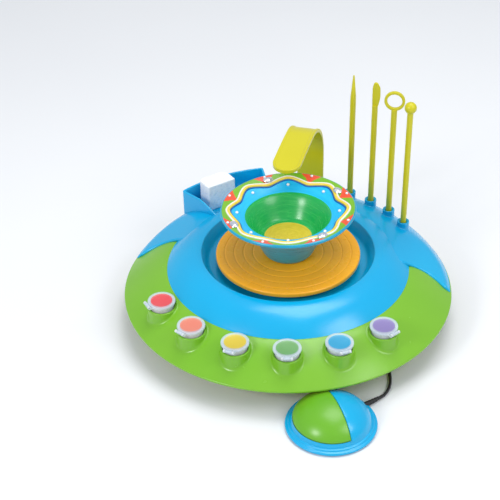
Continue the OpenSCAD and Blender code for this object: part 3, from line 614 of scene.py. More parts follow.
# %% Sponge tray
inset = math.degrees(TRAY_WALL / 130)
a0, a1 = TRAY_A[0] + inset, TRAY_A[1] - inset
arc = [corner(middle_r, a) for a in np.linspace(a0, a1, 26)]
side_r = (96, 108, 120, 132)
plan = rounded([corner(r, a0) for r in side_r] + arc + [corner(r, a1) for r in side_r[::-1]],
               [0, 0, 0, 0, 3.5] + [0] * 24 + [3.5, 0, 0, 0, 0], steps=8)
plan_r = np.hypot(plan[:, 0], plan[:, 1])
rim_z = np.interp(plan_r, [97, 115, 118, 150], [67, 76.6, 77, 77])
foot_z = np.maximum(44, deck_top(plan_r) + 0.3)
along = unit(np.gradient(plan, axis=0))
side = np.stack([along[:, 1], -along[:, 0]], axis=1)
b = np.linspace(0, np.pi, 9)
across = np.concatenate([[TRAY_WALL], TRAY_WALL * np.cos(b), [-TRAY_WALL]])
wall_z = np.stack([foot_z] + [rim_z - TRAY_WALL + TRAY_WALL * math.sin(t) for t in b]
                  + [np.minimum(foot_z + 20, TRAY_FLOOR - 1)], axis=1)
wall_grid = np.concatenate([plan[:, None] + across[None, :, None] * side[:, None],
                            wall_z[..., None]], axis=2)
floor_profile = [(95, TRAY_FLOOR), (middle_r, TRAY_FLOOR), (middle_r, 55), (95, 55)]
floor_angles = np.radians(np.linspace(a0, a1, 30))
floor_grid = polar(floor_profile, floor_angles).transpose(1, 0, 2)
ring_skins += [skin(capped(wall_grid)), skin(capped(floor_grid))]


# %% Sockets and turret
def collar(x, y, profile, radius, flare, steps=64):
    """Turned collar whose outer wall ends in a fillet that follows the wing's surface."""
    inner = put(turned(profile, steps), x, y)
    t = np.linspace(0, 2 * np.pi, steps, endpoint=False)
    rows = []
    for b in np.linspace(0, np.pi / 2, 6):
        rho = radius + flare * (1 - math.cos(b))
        px, py = x + rho * np.cos(t), y + rho * np.sin(t)
        rows.append(np.stack([px, py, wing_top(px, py) + flare * (1 - math.sin(b)) + 0.04], axis=1))
    rows.append(rows[-1] - np.array([0, 0, 2.0]))
    middle = np.broadcast_to([x, y, profile[0][1] - 1.0], inner[:1].shape)
    return np.concatenate([inner, rows, middle])


bore = STEM_R + 0.08
socket_profile = rounded([(0, SOCKET_FLOOR), (bore, SOCKET_FLOOR), (bore, SOCKET_Z - 1.6),
                          (bore + 1.7, SOCKET_Z), (SOCKET_R, SOCKET_Z), (SOCKET_R, SOCKET_Z - 2.5)],
                         [0, 0.3, 0.6, 0.4, 0.7, 0])
for sx, sy, _ in sockets[:-1]:
    ring_skins.append(skin(collar(sx, sy, socket_profile, SOCKET_R, 1.6)))
turret_profile = rounded([(0, 56), (PEG_R + 0.06, 56), (PEG_R + 0.06, TURRET_Z),
                          (TURRET_R, TURRET_Z), (TURRET_R, TURRET_Z - 1.5)], [0, 0.4, 0.5, 0.9, 0])
ring_skins.append(skin(collar(0, ARM_Y, turret_profile, TURRET_R, 2.0, 96)))
piece("housing_ring", ring_skins, blue_abs, "base", ["upper_housing"], sharp=50)
print("housing faces:", made_pieces["housing_ring"], made_pieces["housing_wings"])

# %% [markdown]
# ## The turntable
#
# A flat orange disc with a soft edge. Four shallow rings help to centre the clay, and fine turning
# marks catch the light, so its bump is a set of circles round the axis.

# %% Turntable piece
TABLE_R, TABLE_Z = 69.5, 69.5
face = [(0, TABLE_Z)]
for r in (34, 43, 52, 61):
    face += [(r - 0.9, TABLE_Z), (r - 0.35, TABLE_Z - 0.35), (r + 0.35, TABLE_Z - 0.35),
             (r + 0.9, TABLE_Z)]
face += [(TABLE_R, TABLE_Z), (TABLE_R, TABLE_Z - 4.5), (11, TABLE_Z - 4.5), (11, HUB_Z + 1.1),
         (4.05, HUB_Z + 1.1), (4.05, TABLE_Z - 1.5), (0, TABLE_Z - 1.5)]
table_profile = rounded(face, [0] + [0.5] * 16 + [1.6, 1.2, 0, 0, 0, 0, 0], steps=6)
turned_abs = moulded("turned_orange_abs", "#ffab16", "#ffb824", 0.27)
tree = turned_abs.node_tree
place = add(tree, "TexCoord").outputs["Object"]
flat = add(tree, "Mapping", {"Vector": place, "Scale": (1.0, 1.0, 0.0)}).outputs["Vector"]
rings = add(tree, "TexWave", {"Vector": flat, "Scale": 200.0, "Distortion": 0.4},
            wave_type="RINGS", rings_direction="SPHERICAL").outputs["Fac"]
feed(tree, tree.nodes["Principled BSDF"], {"Normal": relief(tree, rings, 0.08, 0.00003)})
piece("turntable_disc", [skin(turned(table_profile, 256))], turned_abs, "turntable",
      ["turntable"], sharp=60)

# %% [markdown]
# ## The painted bowl
#
# A small fired clay bowl with a flared rim, thrown by hand and so never quite round. The outside
# is blue-green glaze and the inside is brushed with glossy poster paint. The wavy lines are puffy
# paint, a raised bead from a tube, so they are real tubes laid on the flare, and pearls and gems
# sit on it.

# %% Shape of the bowl
BOWL = np.array([
    (0, 69.5), (22, 69.5), (24.5, 72.5), (27.8, 80), (32, 89), (37.5, 98), (45, 105), (54, 110.5),
    (62.8, 115), (64.2, 117.2), (62.8, 119.2), (55, 116.4), (46, 113), (39.8, 110), (35, 104),
    (30, 95), (26, 88.5), (22, 87), (0, 87)])[::-1]
LOBES, LOBE_TURN, LOBE_SWING, LINE_R = 8, math.radians(10.5), 2.8, 52.3
bowl_profile = rounded(BOWL, [0, 2, 2, 4, 4, 3, 4, 4, 1.2, 1.2, 1.2, 4, 4, 4, 4, 3, 1.5, 1.2, 0],
                       steps=6)


def thrown(points):
    """Hand-made drift: the rim leans by 1.6 mm and its radius wavers by up to 0.8%."""
    x, y, z = np.moveaxis(points, -1, 0)
    share = np.clip((z - TABLE_Z) / 50, 0, 1) ** 2
    t = np.arctan2(y, x)
    k = 1 + 0.005 * share * (np.sin(2 * t + 0.7) + 0.6 * np.sin(5 * t))
    lean = 1.6 * share * (x * math.cos(0.25) + y * math.sin(0.25)) / 64
    return np.stack([x * k, y * k, z + lean], axis=-1)


flare = BOWL[4:10][np.argsort(BOWL[4:10, 0])]


def on_flare(r, t, lift=0.0):
    """Points on the inner flare at radius r and angle t, raised by lift, with the bowl's drift."""
    return thrown(circular(r, t, np.interp(r, flare[:, 0], flare[:, 1]) + lift))


def lobed(t, middle):
    """Radius of an eight-lobed line: middle + swing (0.85 w + 0.15 w^3), w = cos 8 (t - t0)."""
    wave = np.cos(LOBES * (t - LOBE_TURN))
    return middle + LOBE_SWING * (0.85 * wave + 0.15 * wave ** 3)


# %% Finishes of the bowl
def brushed_paint(name, low, high, roughness):
    """Poster paint over clay: streaks from the brush run round the bowl, in tone and in relief."""
    made, tree, shader, place = blank(name)
    axes = add(tree, "SeparateXYZ", {"Vector": place}).outputs
    turn_of = add(tree, "Math", {0: axes[1], 1: axes[0]}, operation="ARCTAN2").outputs[0]
    level = add(tree, "CombineXYZ", {0: axes[0], 1: axes[1]}).outputs[0]
    r = add(tree, "VectorMath", {0: level}, operation="LENGTH").outputs["Value"]
    unrolled = add(tree, "CombineXYZ", {0: turn_of, 1: r, 2: axes[2]}).outputs[0]
    scaled = add(tree, "Mapping", {"Vector": unrolled, "Scale": (2.2, 420.0, 420.0)}).outputs[0]
    streaks = noise(tree, scaled, 1.0, Detail=5.0, Roughness=0.65)
    tone = add(tree, "MapRange", {"Value": streaks, "From Min": 0.3, "From Max": 0.75}).outputs[0]
    feed(tree, shader, {"Base Color": two_tones(tree, tone, low, high),
                        "Roughness": mapped(tree, streaks, roughness, roughness + 0.2),
                        "Normal": relief(tree, streaks, 0.3, 0.0002),
                        "Coat Weight": 0.15, "Coat Roughness": 0.2})
    return made


glaze_blue = brushed_paint("blue_green_glaze", "#0a8fb4", "#17add0", 0.2)
inner_green = brushed_paint("green_poster_paint", "#00a650", "#33b95c", 0.16)
bottom_yellow = brushed_paint("yellow_poster_paint", "#d3b82a", "#ead04a", 0.3)
rim_green = brushed_paint("leaf_green_poster_paint", "#6fae1c", "#83bf2c", 0.3)
band_cyan = brushed_paint("cyan_poster_paint", "#05b4f2", "#22c6fb", 0.28)
flag_red = brushed_paint("red_poster_paint", "#e9492c", "#f25c3c", 0.3)
puffy = [moulded(f"{name}_puffy_paint", low, high, roughness, 0.3, 60.0, 0.6)
         for name, low, high, roughness in (("white", "#e8e6e0", "#f5f4ef", 0.32),
                                            ("yellow", "#eccb3a", "#f6da58", 0.3),
                                            ("blue", "#0058a8", "#0a6cc0", 0.3))]
pearl, tree, shader, place = blank("plastic_pearl")
feed(tree, shader, {"Base Color": two_tones(tree, noise(tree, place, 400.0), "#e9ebf2", "#fbfbff"),
                    "Roughness": 0.14, "Coat Weight": 0.8})
gem, tree, shader, place = blank("mirror_backed_gem")
# Each Voronoi cell stands for a facet, and its lighter or darker grey is a painted glint: the
# reflection a cut facet would give.
cells = add(tree, "TexVoronoi", {"Vector": place, "Scale": 420.0}).outputs["Color"]
facet_glint = add(tree, "SeparateColor", {0: cells}).outputs[0]
feed(tree, shader, {"Base Color": two_tones(tree, facet_glint, "#b9c1d6", "#f2f4fb"), "Metallic": 0.55,
                    "Roughness": 0.12})

# %% Bowl piece: the finish of each face comes from where it is
STEPS_ROUND = 384
BOTTOM_R, PAINT_R = 22.3, 41
mid_r = (bowl_profile[:-1, 0] + bowl_profile[1:, 0]) / 2
lip_row = int(np.argmax(bowl_profile[:, 1]))
points, quads, _ = skin(thrown(turned(bowl_profile, STEPS_ROUND)))
use = np.zeros(len(mid_r), int)
use[:lip_row] = 1
use[:lip_row][mid_r[:lip_row] < BOTTOM_R] = 2
inside_flare = (np.arange(len(mid_r)) < lip_row) & (mid_r > PAINT_R)
quads = quads.reshape(len(mid_r), STEPS_ROUND, 4)
bowl_skins = [(points, quads[~inside_flare & (use == k)].reshape(-1, 4), k) for k in (0, 1, 2)]

# %% Painted flare: bands that end along the lobed line, and red flags on the rim
t = np.linspace(0, 2 * np.pi, STEPS_ROUND, endpoint=False)
inner_edge = bowl_profile[np.flatnonzero(inside_flare)[0]]
outer_edge = bowl_profile[np.flatnonzero(inside_flare)[-1] + 1]
line_r = lobed(t, LINE_R)
share = np.linspace(0, 1, 13)[:, None]
cyan_r = inner_edge[0] + (line_r - inner_edge[0])[None] * share
green_r = line_r[None] + (outer_edge[0] - line_r)[None] * share


def flare_z(r):
    """Height of the bowl's inner profile at a radius."""
    return np.interp(r, bowl_profile[:lip_row + 1, 0], bowl_profile[:lip_row + 1, 1])


bands = [thrown(circular(r, t, flare_z(r))) for r in (cyan_r, green_r)]
phase = ((t - LOBE_TURN) * LOBES / (2 * np.pi)) % 1
flag = np.abs(phase - 0.5)[None] < 0.26 * (share[:-1] - 0.12)
flare_skins = [skin(bands[0], 3, closed=False),
               skin(bands[1], 4, closed=False, keep=~flag),
               skin(bands[1], 5, closed=False, keep=flag)]
piece("clay_bowl", bowl_skins + flare_skins,
      [glaze_blue, inner_green, bottom_yellow, band_cyan, rim_green, flag_red],
      "bowl", ["bowl"], sharp=70)


# %% Puffy lines, pearls and gems
def bead(t, r, radius):
    """Closed tube round the flare along radius r(t): a circle carried along the line."""
    path = on_flare(r, t, radius * 0.35)
    forward = unit(np.roll(path, -1, axis=0) - np.roll(path, 1, axis=0))
    side = unit(np.cross(forward, (0, 0, 1)))
    return carried(path, ring_of(radius, 10), side, np.cross(side, forward))



def dome(x, y, z, a, b, c, turn=0.0, rows=8, around=20):
    """Closed ellipsoid with half axes a, b, c: (a sin u cos v, b sin u sin v, c cos u)."""
    u = np.linspace(0, np.pi, rows + 1)[:, None]
    v = np.linspace(0, 2 * np.pi, around, endpoint=False)[None]
    points = np.stack([a * np.sin(u) * np.cos(v), b * np.sin(u) * np.sin(v),
                       c * np.cos(u) * np.ones_like(v)], axis=2)
    return put(points, x, y, z, turn)


fine = np.linspace(0, 2 * np.pi, 480, endpoint=False)
lines = [skin(bead(fine, lobed(fine, r), thick), use, loop=True)
         for use, (r, thick) in enumerate(((55.2, 0.95), (53.1, 1.4), (51.2, 0.75)))]
piece("puffy_paint_lines", lines, puffy, "bowl")


def jewel(r, t, lift, axes, *shape):
    """Ellipsoid with half axes a, b, c that sits on the flare at radius r and angle t."""
    return skin(dome(*on_flare(np.array(r), np.array(t), lift), *axes, *shape))


jewels = []
for k in range(LOBES):
    jewels += [jewel(48.2, 2 * math.pi * k / LOBES + LOBE_TURN, 0.6, (1.6, 1.6, 1.4)),
               jewel(60.3, 2 * math.pi * (k + 0.5) / LOBES + LOBE_TURN, 0.5, (1.4, 1.4, 1.2))]
piece("pearls", jewels, pearl, "bowl")
GEM_BEARINGS = (43, 121, 217, 315)
gems = [jewel(56.0, math.radians(a), 1.1, (5.2, 4.0, 2.0), a + 90, 6, 28) for a in GEM_BEARINGS]
piece("oval_gems", gems, gem, "bowl", sharp=18)

# %% [markdown]
# ## Paint pots
#
# Each pot is a thin clear polypropylene cup with a hinged lid. Polypropylene is milky, which a
# constant alpha gives at little cost. A lid's panel is painted in a pale tint of its paint, as
# painted light for the paint's colour seen through the clear lid, and lets less through than its
# rim does.
# The paint is a glossy water-based one with a slightly dished top.


# %% Milky plastic
def milky(name, alpha, low="#e3eaf2", high="#f4f7fb"):
    """Natural polypropylene: pale, satin, and partly see-through by a constant alpha."""
    made = moulded(name, low, high, 0.3, 0.3, 40.0, 0.8)
    made.node_tree.nodes["Principled BSDF"].inputs["Alpha"].default_value = alpha
    return made


cup_plastic = milky("cup_polypropylene", 0.55)
rim_plastic = milky("lid_rim_polypropylene", 0.48, "#d3e2f0", "#e6f0f8")
# Panel tints are painted light: the colour of the paint below as it shows through the clear lid,
# not a colour the lid has.
SEEN_THROUGH_TINTS = {"red": ("#f0525a", "#f4646a"), "salmon": ("#f28872", "#f69a84"),
         "yellow": ("#e6cc40", "#ecd75a"), "green": ("#78b26c", "#8abf7e"),
         "blue": ("#38aad8", "#52b8e2"), "purple": ("#9282c2", "#a294cc")}
PAINTS = {"red": ("#f23c36", "#fa4a44"), "salmon": ("#f8704c", "#fb8560"),
          "yellow": ("#f3c313", "#f9d02a"), "green": ("#3fae55", "#56bd66"),
          "blue": ("#1391d2", "#2ba2de"), "purple": ("#8468c0", "#9479cb")}

# %% Cup, lid and paint, in the frame of one pot
CUP_R, CUP_TOP, LID_R = 11.2, 57.0, 13.0
HINGE_X, HINGE_Z, LUG_Y, BARREL_R, HINGE_BORE, PIN_R = 14.6, 57.8, 4.2, 1.5, 0.86, 0.8
CUP_FLOOR = WELL_FLOOR + 1.2
cup_profile = rounded([(0, CUP_FLOOR), (CUP_R - 1.8, CUP_FLOOR), (CUP_R - 1.2, CUP_TOP),
                       (CUP_R + 1, CUP_TOP), (CUP_R + 1, CUP_TOP - 1.4), (CUP_R, CUP_TOP - 1.6),
                       (CUP_R - 0.8, WELL_FLOOR), (0, WELL_FLOOR)],
                      [0, 1, 0.3, 0.3, 0.3, 0, 0.8, 0])
LID_Z = CUP_TOP + 0.05
panel = [(0, LID_Z + 1.7), (LID_R - 2.9, LID_Z + 1.7)]
rim = rounded([(LID_R - 2.9, LID_Z + 1.7), (LID_R - 2.2, LID_Z + 2.0), (LID_R - 0.2, LID_Z + 2.0),
               (LID_R, LID_Z + 0.1), (LID_R - 2.9, LID_Z + 0.02)], [0, 0.5, 0.7, 0.3, 0])
paint_profile = rounded([(0, 53.6), (6, 53.65), (CUP_R - 2.1, 54.2),
                         (CUP_R - 2.3, WELL_FLOOR + 1.3), (0, WELL_FLOOR + 1.3)],
                        [0, 3, 0.4, 0.8, 0])


def barrel(radius, y0, y1, x, z, bore=0, around=24):
    """Round bar along Y with softened ends; with a bore its grid is a loop, for a sleeve."""
    grid = turned(rounded([(bore, y1), (radius, y1), (radius, y0), (bore, y0)], [0, 0.25, 0.25, 0]),
                  around)
    return np.stack([x + grid[..., 0], grid[..., 2], z + grid[..., 1]], axis=-1)


cup_parts = [(turned(cup_profile, 72), False)]
for y in (-LUG_Y, LUG_Y):
    cup_parts += [(block(box_outline(CUP_R, HINGE_X, y - 1, y + 1, 0.4),
                         CUP_TOP - 1.4, CUP_TOP - 0.2, 0.3), False),
                  (barrel(BARREL_R, y - 1, y + 1, HINGE_X, HINGE_Z, HINGE_BORE), True)]
lid_parts = [(turned(panel, 72), 1), (turned(rim, 72), 0),
             (turned([(LID_R - 2.9, LID_Z + 0.02), (0, LID_Z + 0.02)], 72), 1),
             (block(box_outline(LID_R - 1, HINGE_X - 0.5, -2.6, 2.6, 0.3),
                    LID_Z, LID_Z + 1.2, 0.3), 0),
             (barrel(BARREL_R, -2.9, 2.9, HINGE_X, HINGE_Z), 0),
             (barrel(PIN_R, -5.2, 5.2, HINGE_X, HINGE_Z), 0)]

# %% The six pots
for i, (angle, (colour, (low, high))) in enumerate(zip(pot_angles, PAINTS.items()), 1):
    x, y = corner(POT_R, angle)
    piece(f"cup_{colour}", [skin(put(g, x, y, 0, angle), loop=loop) for g, loop in cup_parts],
          cup_plastic, f"pot_{i}", [f"paint_pot_{i}"])
    piece(f"lid_{colour}", [skin(put(g, x, y, 0, angle), use, closed=k > 2)
                            for k, (g, use) in enumerate(lid_parts)],
          [rim_plastic, milky(f"{colour}_paint_seen_through_panel", 0.75, *SEEN_THROUGH_TINTS[colour])], f"lid_{i}",
          [f"pot_lid_{i}"])
    wet = moulded(f"{colour}_paint", low, high, 0.16, 0.3, 90.0, 3.0)
    piece(f"{colour}_paint", [skin(put(turned(paint_profile, 64), x, y))], wet, f"pot_{i}",
          [f"paint_{i}"])
print("pots:", POTS, "faces each:", made_pieces["cup_red"], made_pieces["lid_red"])

# %% [markdown]
# ## Sponge
#
# A cut block of white synthetic sponge. Foam has soft edges, a face that isn't quite flat, and
# open cells a few millimetres across. The cut is a dense grid with a gentle displacement, and the
# cells are pits from two Voronoi patterns, with painted shade that darkens each pit's bottom.

# %% Sponge piece
foam, tree, shader, place = blank("polyurethane_foam")
cells = add(tree, "TexVoronoi", {"Vector": place, "Scale": 620.0}).outputs["Distance"]
big = add(tree, "TexVoronoi", {"Vector": place, "Scale": 260.0}).outputs["Distance"]
both = add(tree, "Math", {0: cells, 1: big}, operation="MULTIPLY").outputs[0]
pit_depth_and_shade = add(tree, "MapRange", {"Value": both, "From Min": 0.02, "From Max": 0.22}).outputs[0]
# The pits' darker tone is painted shade, where less light reaches into the foam's cells; the bump
# gives their real depth.
feed(tree, shader, {"Base Color": two_tones(tree, pit_depth_and_shade, "#e4eaf4", "#f7fafe"), "Roughness": 0.95,
                    "Normal": relief(tree, pit_depth_and_shade, 0.4, 0.0003)})
SPONGE_AT, SPONGE_H = (129.0, 135.0), 28.4
outline = np.array([(-16, -4), (-11, -10), (12, -10), (16, -7), (16, 10), (-16, 10)], float)
outline = rounded(outline, 1.4, closed=True, steps=4)
seg = np.linalg.norm(np.roll(outline, -1, axis=0) - outline, axis=1)
length = np.concatenate([[0], np.cumsum(seg)])
wrap = np.vstack([outline, outline[:1]])
s = np.linspace(0, length[-1], 121)[:-1]
dense = np.stack([np.interp(s, length, wrap[:, i]) for i in (0, 1)], axis=1)
b = np.linspace(0, np.pi / 2, 5)
SOFT_EDGE, levels = 1.1, np.linspace(SPONGE_H - 1.2, 1.2, 30)[1:-1]
inset_of = np.concatenate([SOFT_EDGE * (1 - np.sin(b)), np.zeros(len(levels)),
                           SOFT_EDGE * (1 - np.sin(b[::-1]))])
z_of = np.concatenate([SPONGE_H - SOFT_EDGE * (1 - np.cos(b)), levels,
                       SOFT_EDGE * (1 - np.cos(b[::-1]))])
shrink = np.concatenate([[0.0, 0.2, 0.4, 0.6, 0.8], np.ones(len(z_of)), [0.8, 0.6, 0.4, 0.2, 0.0]])
z_of = np.concatenate([[SPONGE_H] * 5, z_of, [0.0] * 5])
inset_of = np.concatenate([[SOFT_EDGE] * 5, inset_of, [SOFT_EDGE] * 5])
rows = (dense[None] - inset_of[:, None, None] * unit(dense)[None]) * shrink[:, None, None]
grid = np.concatenate([rows, np.broadcast_to(z_of[:, None, None], (*rows.shape[:2], 1))], axis=2)
u, v, w = np.moveaxis(grid, -1, 0)
wobble = (np.sin(0.9 * u + 1.1 * w) * np.cos(0.8 * v - 0.6 * w)
          + 0.5 * np.sin(2.3 * v + 1.9 * w + 1.0) * np.cos(2.1 * u))
grid[..., :2] *= (1 + 0.008 * wobble * (w > 0.5))[..., None]
grid = put(grid, *corner(*SPONGE_AT), TRAY_FLOOR + 0.05, SPONGE_AT[1] + 90)
sponge = piece("sponge_block", [skin(grid)], foam, "sponge", ["sponge"], sharp=80)

# %% [markdown]
# ## Modelling tools
#
# Four yellow sticks stand in the sockets. Each has a turned stem and ends in its own way: a point,
# a flat blade, a loop for trimming, and a ball.

# %% Tool ends
TOOL_TOP, END_L = 200.0, 24.0
stem_foot = SOCKET_FLOOR + 0.1
end_z = TOOL_TOP - END_L


def stem(top):
    """Profile of a stem from its rounded foot to a flat top."""
    return rounded([(0, top), (STEM_R, top), (STEM_R, stem_foot), (0, stem_foot)], [0, 0.4, 0.8, 0])


pointed = rounded([(0, TOOL_TOP), (0.7, TOOL_TOP), (STEM_R, end_z), (STEM_R, stem_foot),
                   (0, stem_foot)], [0, 0.5, 6, 0.8, 0])
blade = rounded([(-2.7, -3), (2.7, -3), (5, 8), (4.5, 19), (1.5, 24), (-1.5, 24), (-3, 19),
                 (-3, 8)], 2.0, closed=True)
a, b, c = np.moveaxis(block(blade, -1.2, 1.2, 0.9), -1, 0)
blade_grid = np.stack([a, -c, end_z + b], axis=-1)
t = np.linspace(0, 2 * np.pi, 64, endpoint=False)
wire = rounded([(-1.4, -1.5), (1.4, -1.5), (1.4, 1.5), (-1.4, 1.5)], 0.8, closed=True)
loop_grid = np.stack([np.cos(t)[:, None] * (8.6 + wire[None, :, 0]),
                      np.broadcast_to(wire[None, :, 1], (64, len(wire))),
                      end_z + 14 + np.sin(t)[:, None] * (8.6 + wire[None, :, 0])], axis=2)
tool_skins = [
    [skin(turned(pointed, 32))],
    [skin(turned(stem(end_z), 32)), skin(blade_grid)],
    [skin(turned(stem(end_z + 5.2), 32)), skin(loop_grid, loop=True)],
    [skin(turned(stem(end_z + 14), 32)), skin(dome(0, 0, end_z + 18.2, 5.8, 5.8, 5.8, 0, 20, 36))]]
for i, (skins, name) in enumerate(zip(tool_skins, ("point", "blade", "loop", "ball")), 1):
    x, y = corner(TOOL_R, tool_angles[i - 1])
    placed = [(put(p, x, y), q, use) for p, q, use in skins]
    piece(f"tool_{name}", placed, yellow_abs, f"tool_{i}",
          [f"modelling_tool_{i}"])

# %% [markdown]
# ## Overhead arm
#
# One yellow strap rises from a round foot and curls forward over the wheel. Its section is a
# shallow channel with thicker edges, carried along the bend, and its end is a half round.

# %% Arm piece
ARM_Z, ARM_W, ARM_T, BEND_R, REACH, ARM_TURN = 152.0, 27.0, 3.6, 47.0, 113.0, -3.5
bend_z, tongue = ARM_Z - BEND_R, REACH - BEND_R
a = np.radians(np.linspace(0, 90, 46))
s = 1 - (1 - np.linspace(0, 1, 50)[1:]) ** 1.6
rise = np.linspace(TURRET_Z + 2, bend_z, 12)[:-1]
line_y = np.concatenate([np.zeros(len(rise)), -BEND_R + BEND_R * np.cos(a), -BEND_R - tongue * s])
line_z = np.concatenate([rise, bend_z + BEND_R * np.sin(a), ARM_Z - 3.5 * s ** 2])
d = unit(np.stack([np.gradient(line_y), np.gradient(line_z)], axis=1))
to_tip = np.maximum(REACH + line_y, 1e-3)
half_w = np.where(to_tip < ARM_W / 2, np.sqrt(np.maximum(0.05, (ARM_W / 2) ** 2
                                                         - (ARM_W / 2 - to_tip) ** 2)), ARM_W / 2)
section = rounded([(-1, -0.5), (1, -0.5), (1, 0.5), (0.86, 0.5), (0.78, 0.28), (-0.78, 0.28),
                   (-0.86, 0.5), (-1, 0.5)], 0.05, closed=True, steps=4)
strap = np.stack([half_w[:, None] * section[None, :, 0],
                  line_y[:, None] + ARM_T * section[None, :, 1] * d[:, 1:],
                  line_z[:, None] - ARM_T * section[None, :, 1] * d[:, :1]], axis=2)
foot_profile = rounded([(0, TURRET_Z + 4), (TURRET_R - 0.5, TURRET_Z + 4),
                        (TURRET_R - 0.5, TURRET_Z + 0.1), (PEG_R, TURRET_Z + 0.1),
                        (PEG_R, 56.1), (0, 56.1)], [0, 1.4, 0.4, 0, 0.8, 0])
arm_skins = [skin(put(g, 0, ARM_Y, 0, ARM_TURN)) for g in (capped(strap), turned(foot_profile, 72))]
piece("overhead_arm_strap", arm_skins, yellow_abs, "arm", ["overhead_arm"],
      sharp=45)

# %% [markdown]
# ## Foot pedal
#
# The pedal is a squashed dome: the blue half is fixed to its flange, and the green half is pressed
# by the foot. Each half is a stack of chords across one ellipse, from the straight cut to the far
# side, which keeps the cut edge straight and the dome smooth.

# %% Frame of the pedal
PEDAL_AT, PEDAL_TURN, CORD_TURN = (68.7, -160.9), 31.4, 15.6
DOME_R, DOME_Z, PEDAL_TOP, PAD_R, PAD_Y, PAD_GAP, FLOOR_Z = 36.5, 2.0, 27.5, 34.5, 4.2, 0.4, 3.4


def at_pedal(points):
    """Points from the pedal's own frame, whose +Y is the way that its fixed half faces."""
    return put(points, *PEDAL_AT, 0, PEDAL_TURN - 90)


def half_dome(a, h, r_out, cut, sign, skirt_z, edge=0.8, columns=97, rows=49):
    """Skins of the ellipse z = h sqrt(1 - rho^2 / a^2) beyond y = cut, in chords along X.

    Rows step from the cut to the far side as y = start + (r_out - start) sin q, and columns cross
    from one end of each chord to the other. The cut edge is rounded, and a wall drops all round.
    """
    start = cut * sign + edge
    q = np.linspace(0, np.pi / 2, rows)[:-1]
    y = start + (r_out - start) * np.sin(q)
    half = np.sqrt(r_out ** 2 - y ** 2)
    across = np.sin(np.linspace(-np.pi / 2, np.pi / 2, columns))
    x = half[:, None] * across[None]
    y = np.broadcast_to(y[:, None], x.shape)
    z = DOME_Z + h * np.sqrt(1 - (x ** 2 + y ** 2) / a ** 2)
    top = np.stack([x, y, z], axis=2)
    far = np.array([0.0, r_out, DOME_Z + h * math.sqrt(1 - (r_out / a) ** 2)])
    top = np.concatenate([top, np.broadcast_to(far, (1, columns, 3))])
    bend = [top[:1] + np.array([0, -edge * math.sin(b), -edge * (1 - math.cos(b))])
            for b in np.linspace(np.pi / 2, 0, 5)[:-1]]
    wall = bend[0].copy()
    wall[..., 2] = skirt_z
    face = np.concatenate([wall, *bend, top])
    rows_up = np.concatenate([*bend, top])
    border = np.concatenate([rows_up[:, 0], rows_up[-2::-1, -1]])
    drop = np.stack([border, border * [1, 1, 0] + [0, 0, skirt_z]], axis=1)
    spin = np.array([sign, sign, 1.0])
    points, quads, use = strip(at_pedal(face * spin))
    return [(points, quads[:, ::-1], use), strip(at_pedal(drop * spin))]


# %% Pad, dome and flange
piece("pedal_pad_shell",
      half_dome(DOME_R + 0.4, PEDAL_TOP - DOME_Z + 0.5, PAD_R, PAD_Y, -1, 8.0),
      pedal_green, "pedal_pad", ["pedal_pad"], wall=1.6, sharp=40)
edge_r = np.linspace(PAD_R + PAD_GAP, DOME_R - 0.02, 14)[:9]
outer_dome = np.stack([edge_r, DOME_Z + (PEDAL_TOP - DOME_Z) * np.sqrt(1 - (edge_r / DOME_R) ** 2)],
                      axis=1)
flange = rounded([(DOME_R, 5.4), (38.3, 5.1), (38.7, 3.9), (40.8, 3.5), (41.4, 2.4), (41.0, 1.2),
                  (35.6, 1.2), (PAD_R + PAD_GAP, FLOOR_Z)], [0, 0.7, 0.5, 0.6, 0.8, 0.3, 0.5, 0])
shell = np.concatenate([outer_dome, flange])
piece("pedal_dome_shell", [skin(at_pedal(turned(shell, 160)), loop=True)], blue_abs, "base",
      ["pedal_dome"], sharp=40)
piece("pedal_dome_cover",
      half_dome(DOME_R, PEDAL_TOP - DOME_Z, PAD_R + PAD_GAP, PAD_Y + PAD_GAP, 1, 9.0),
      blue_abs, "base", ["pedal_dome"], wall=1.4, sharp=40)


# %% Strain reliefs: tapered rubber sleeves with grooves
def sleeve(start, bearing, length, r0, r1, collar_l, grooves=4):
    """Turned sleeve along a level bearing: radius falls from r0 to r1, dipping at each groove."""
    s = np.linspace(0, length, 90)
    share = np.clip((s - collar_l) / (length - collar_l), 0, 1)
    dip = np.clip(-np.cos(2 * np.pi * share * grooves), 0, 1) ** 0.6 * (s > collar_l)
    r = r0 + (r1 - r0) * share - 0.28 * dip
    grid = turned(np.concatenate([[(0, 0)], np.stack([r, s], axis=1), [(0, length)]]), 32)
    grid = np.stack([grid[..., 2], grid[..., 0], grid[..., 1]], axis=-1)
    return put(grid, *start, bearing)


pedal_exit = at_pedal(put(np.array([0.0, 34.0, 3.0]), turn=CORD_TURN))
sleeves = {"pedal": (pedal_exit, PEDAL_TURN + CORD_TURN, 20.4, 2.6, 1.8, 7.4),
           "base": ((*corner(98, 42), 9.0), 42, 16, 3.8, 2.0, 6.0)}
reliefs = [piece(f"{end}_strain_sleeve", [skin(sleeve(*shape))], rubber, "base",
                 [f"{end}_strain_relief"]) for end, shape in sleeves.items()]

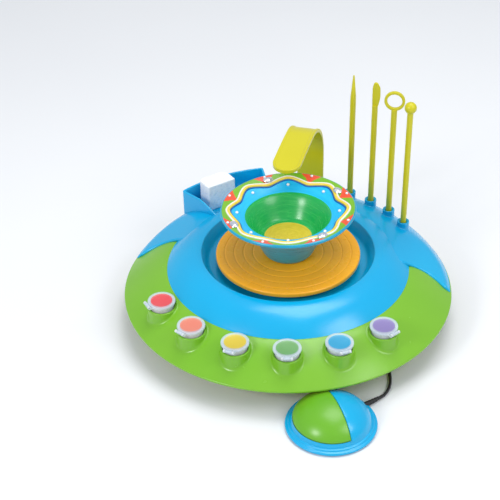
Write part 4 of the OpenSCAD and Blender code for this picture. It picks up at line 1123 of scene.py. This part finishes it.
# %% Coil tie: a flat plastic strap round the coil
tie_plastic = moulded("tie_polyethylene", "#cfcfd2", "#dedee0", 0.4)
x, y = COIL_AT[0], COIL_AT[1] + 17
strap_path = rounded([(x, y - 6.5, 0.3), (x, y + 6.5, 0.3), (x, y + 6.5, 6.6), (x, y - 6.5, 6.6)],
                     1.6, closed=True, steps=6)
strap_path = np.vstack([strap_path, strap_path[:2]])
strap_section = rounded([(-2, -0.25), (2, -0.25), (2, 0.25), (-2, 0.25)], 0.2, closed=True, steps=2)
t = unit(np.gradient(strap_path, axis=0))
sideways = np.broadcast_to([1.0, 0, 0], t.shape)
band = carried(strap_path, strap_section, sideways, np.cross(sideways, t))
tie = piece("coil_tie", [skin(capped(band))], tie_plastic, "base", ["cord_tie"])

# %% [markdown]
# ## Parts of the frame that show as they are
#
# Screws, feet, the base, the gearbox and the batteries already have their true shape in the packed
# model. They get a finish and smooth shading: Weld joins their loose triangles, and an edge split
# keeps real corners crisp.

# %% Finishes of the remaining nodes
finish_of = {name: finish for finish, names in (
    (moulded("battery_wrap", "#2a2b30", "#393b41", 0.35), "battery_cells"),
    (orange_abs, "lower_base battery_door"), (rubber, "rubber_feet pedal_feet"),
    (natural_nylon, "gear_plate gear_cover compound_gear_1 compound_gear_2 output_gear"),
    (turned_brass, "motor_pinion"), (sintered_bush, "bearing_bush"), (blue_abs, "pedal_base"),
    (dark_abs, "pedal_switch")) for name in names.split()}
for name, node in nodes.items():
    if node.hide_render:
        continue
    node.data.materials.clear()
    node.data.materials.append(finish_of.get(name, zinc_steel))
    node.data.polygons.foreach_set("use_smooth", np.ones(len(node.data.polygons), bool))
    if "custom_normal" in node.data.attributes:
        node.data.attributes.remove(node.data.attributes["custom_normal"])
    weld = node.modifiers.new("weld", "WELD")
    weld.merge_threshold = 0.00001
    split = node.modifiers.new("corners", "EDGE_SPLIT")
    split.split_angle = math.radians(35)
print("kept nodes:", sorted(n for n, o in nodes.items() if not o.hide_render))

# %% Sizes and finish
print("pieces:", len(made_pieces), "faces:", sum(made_pieces.values()))
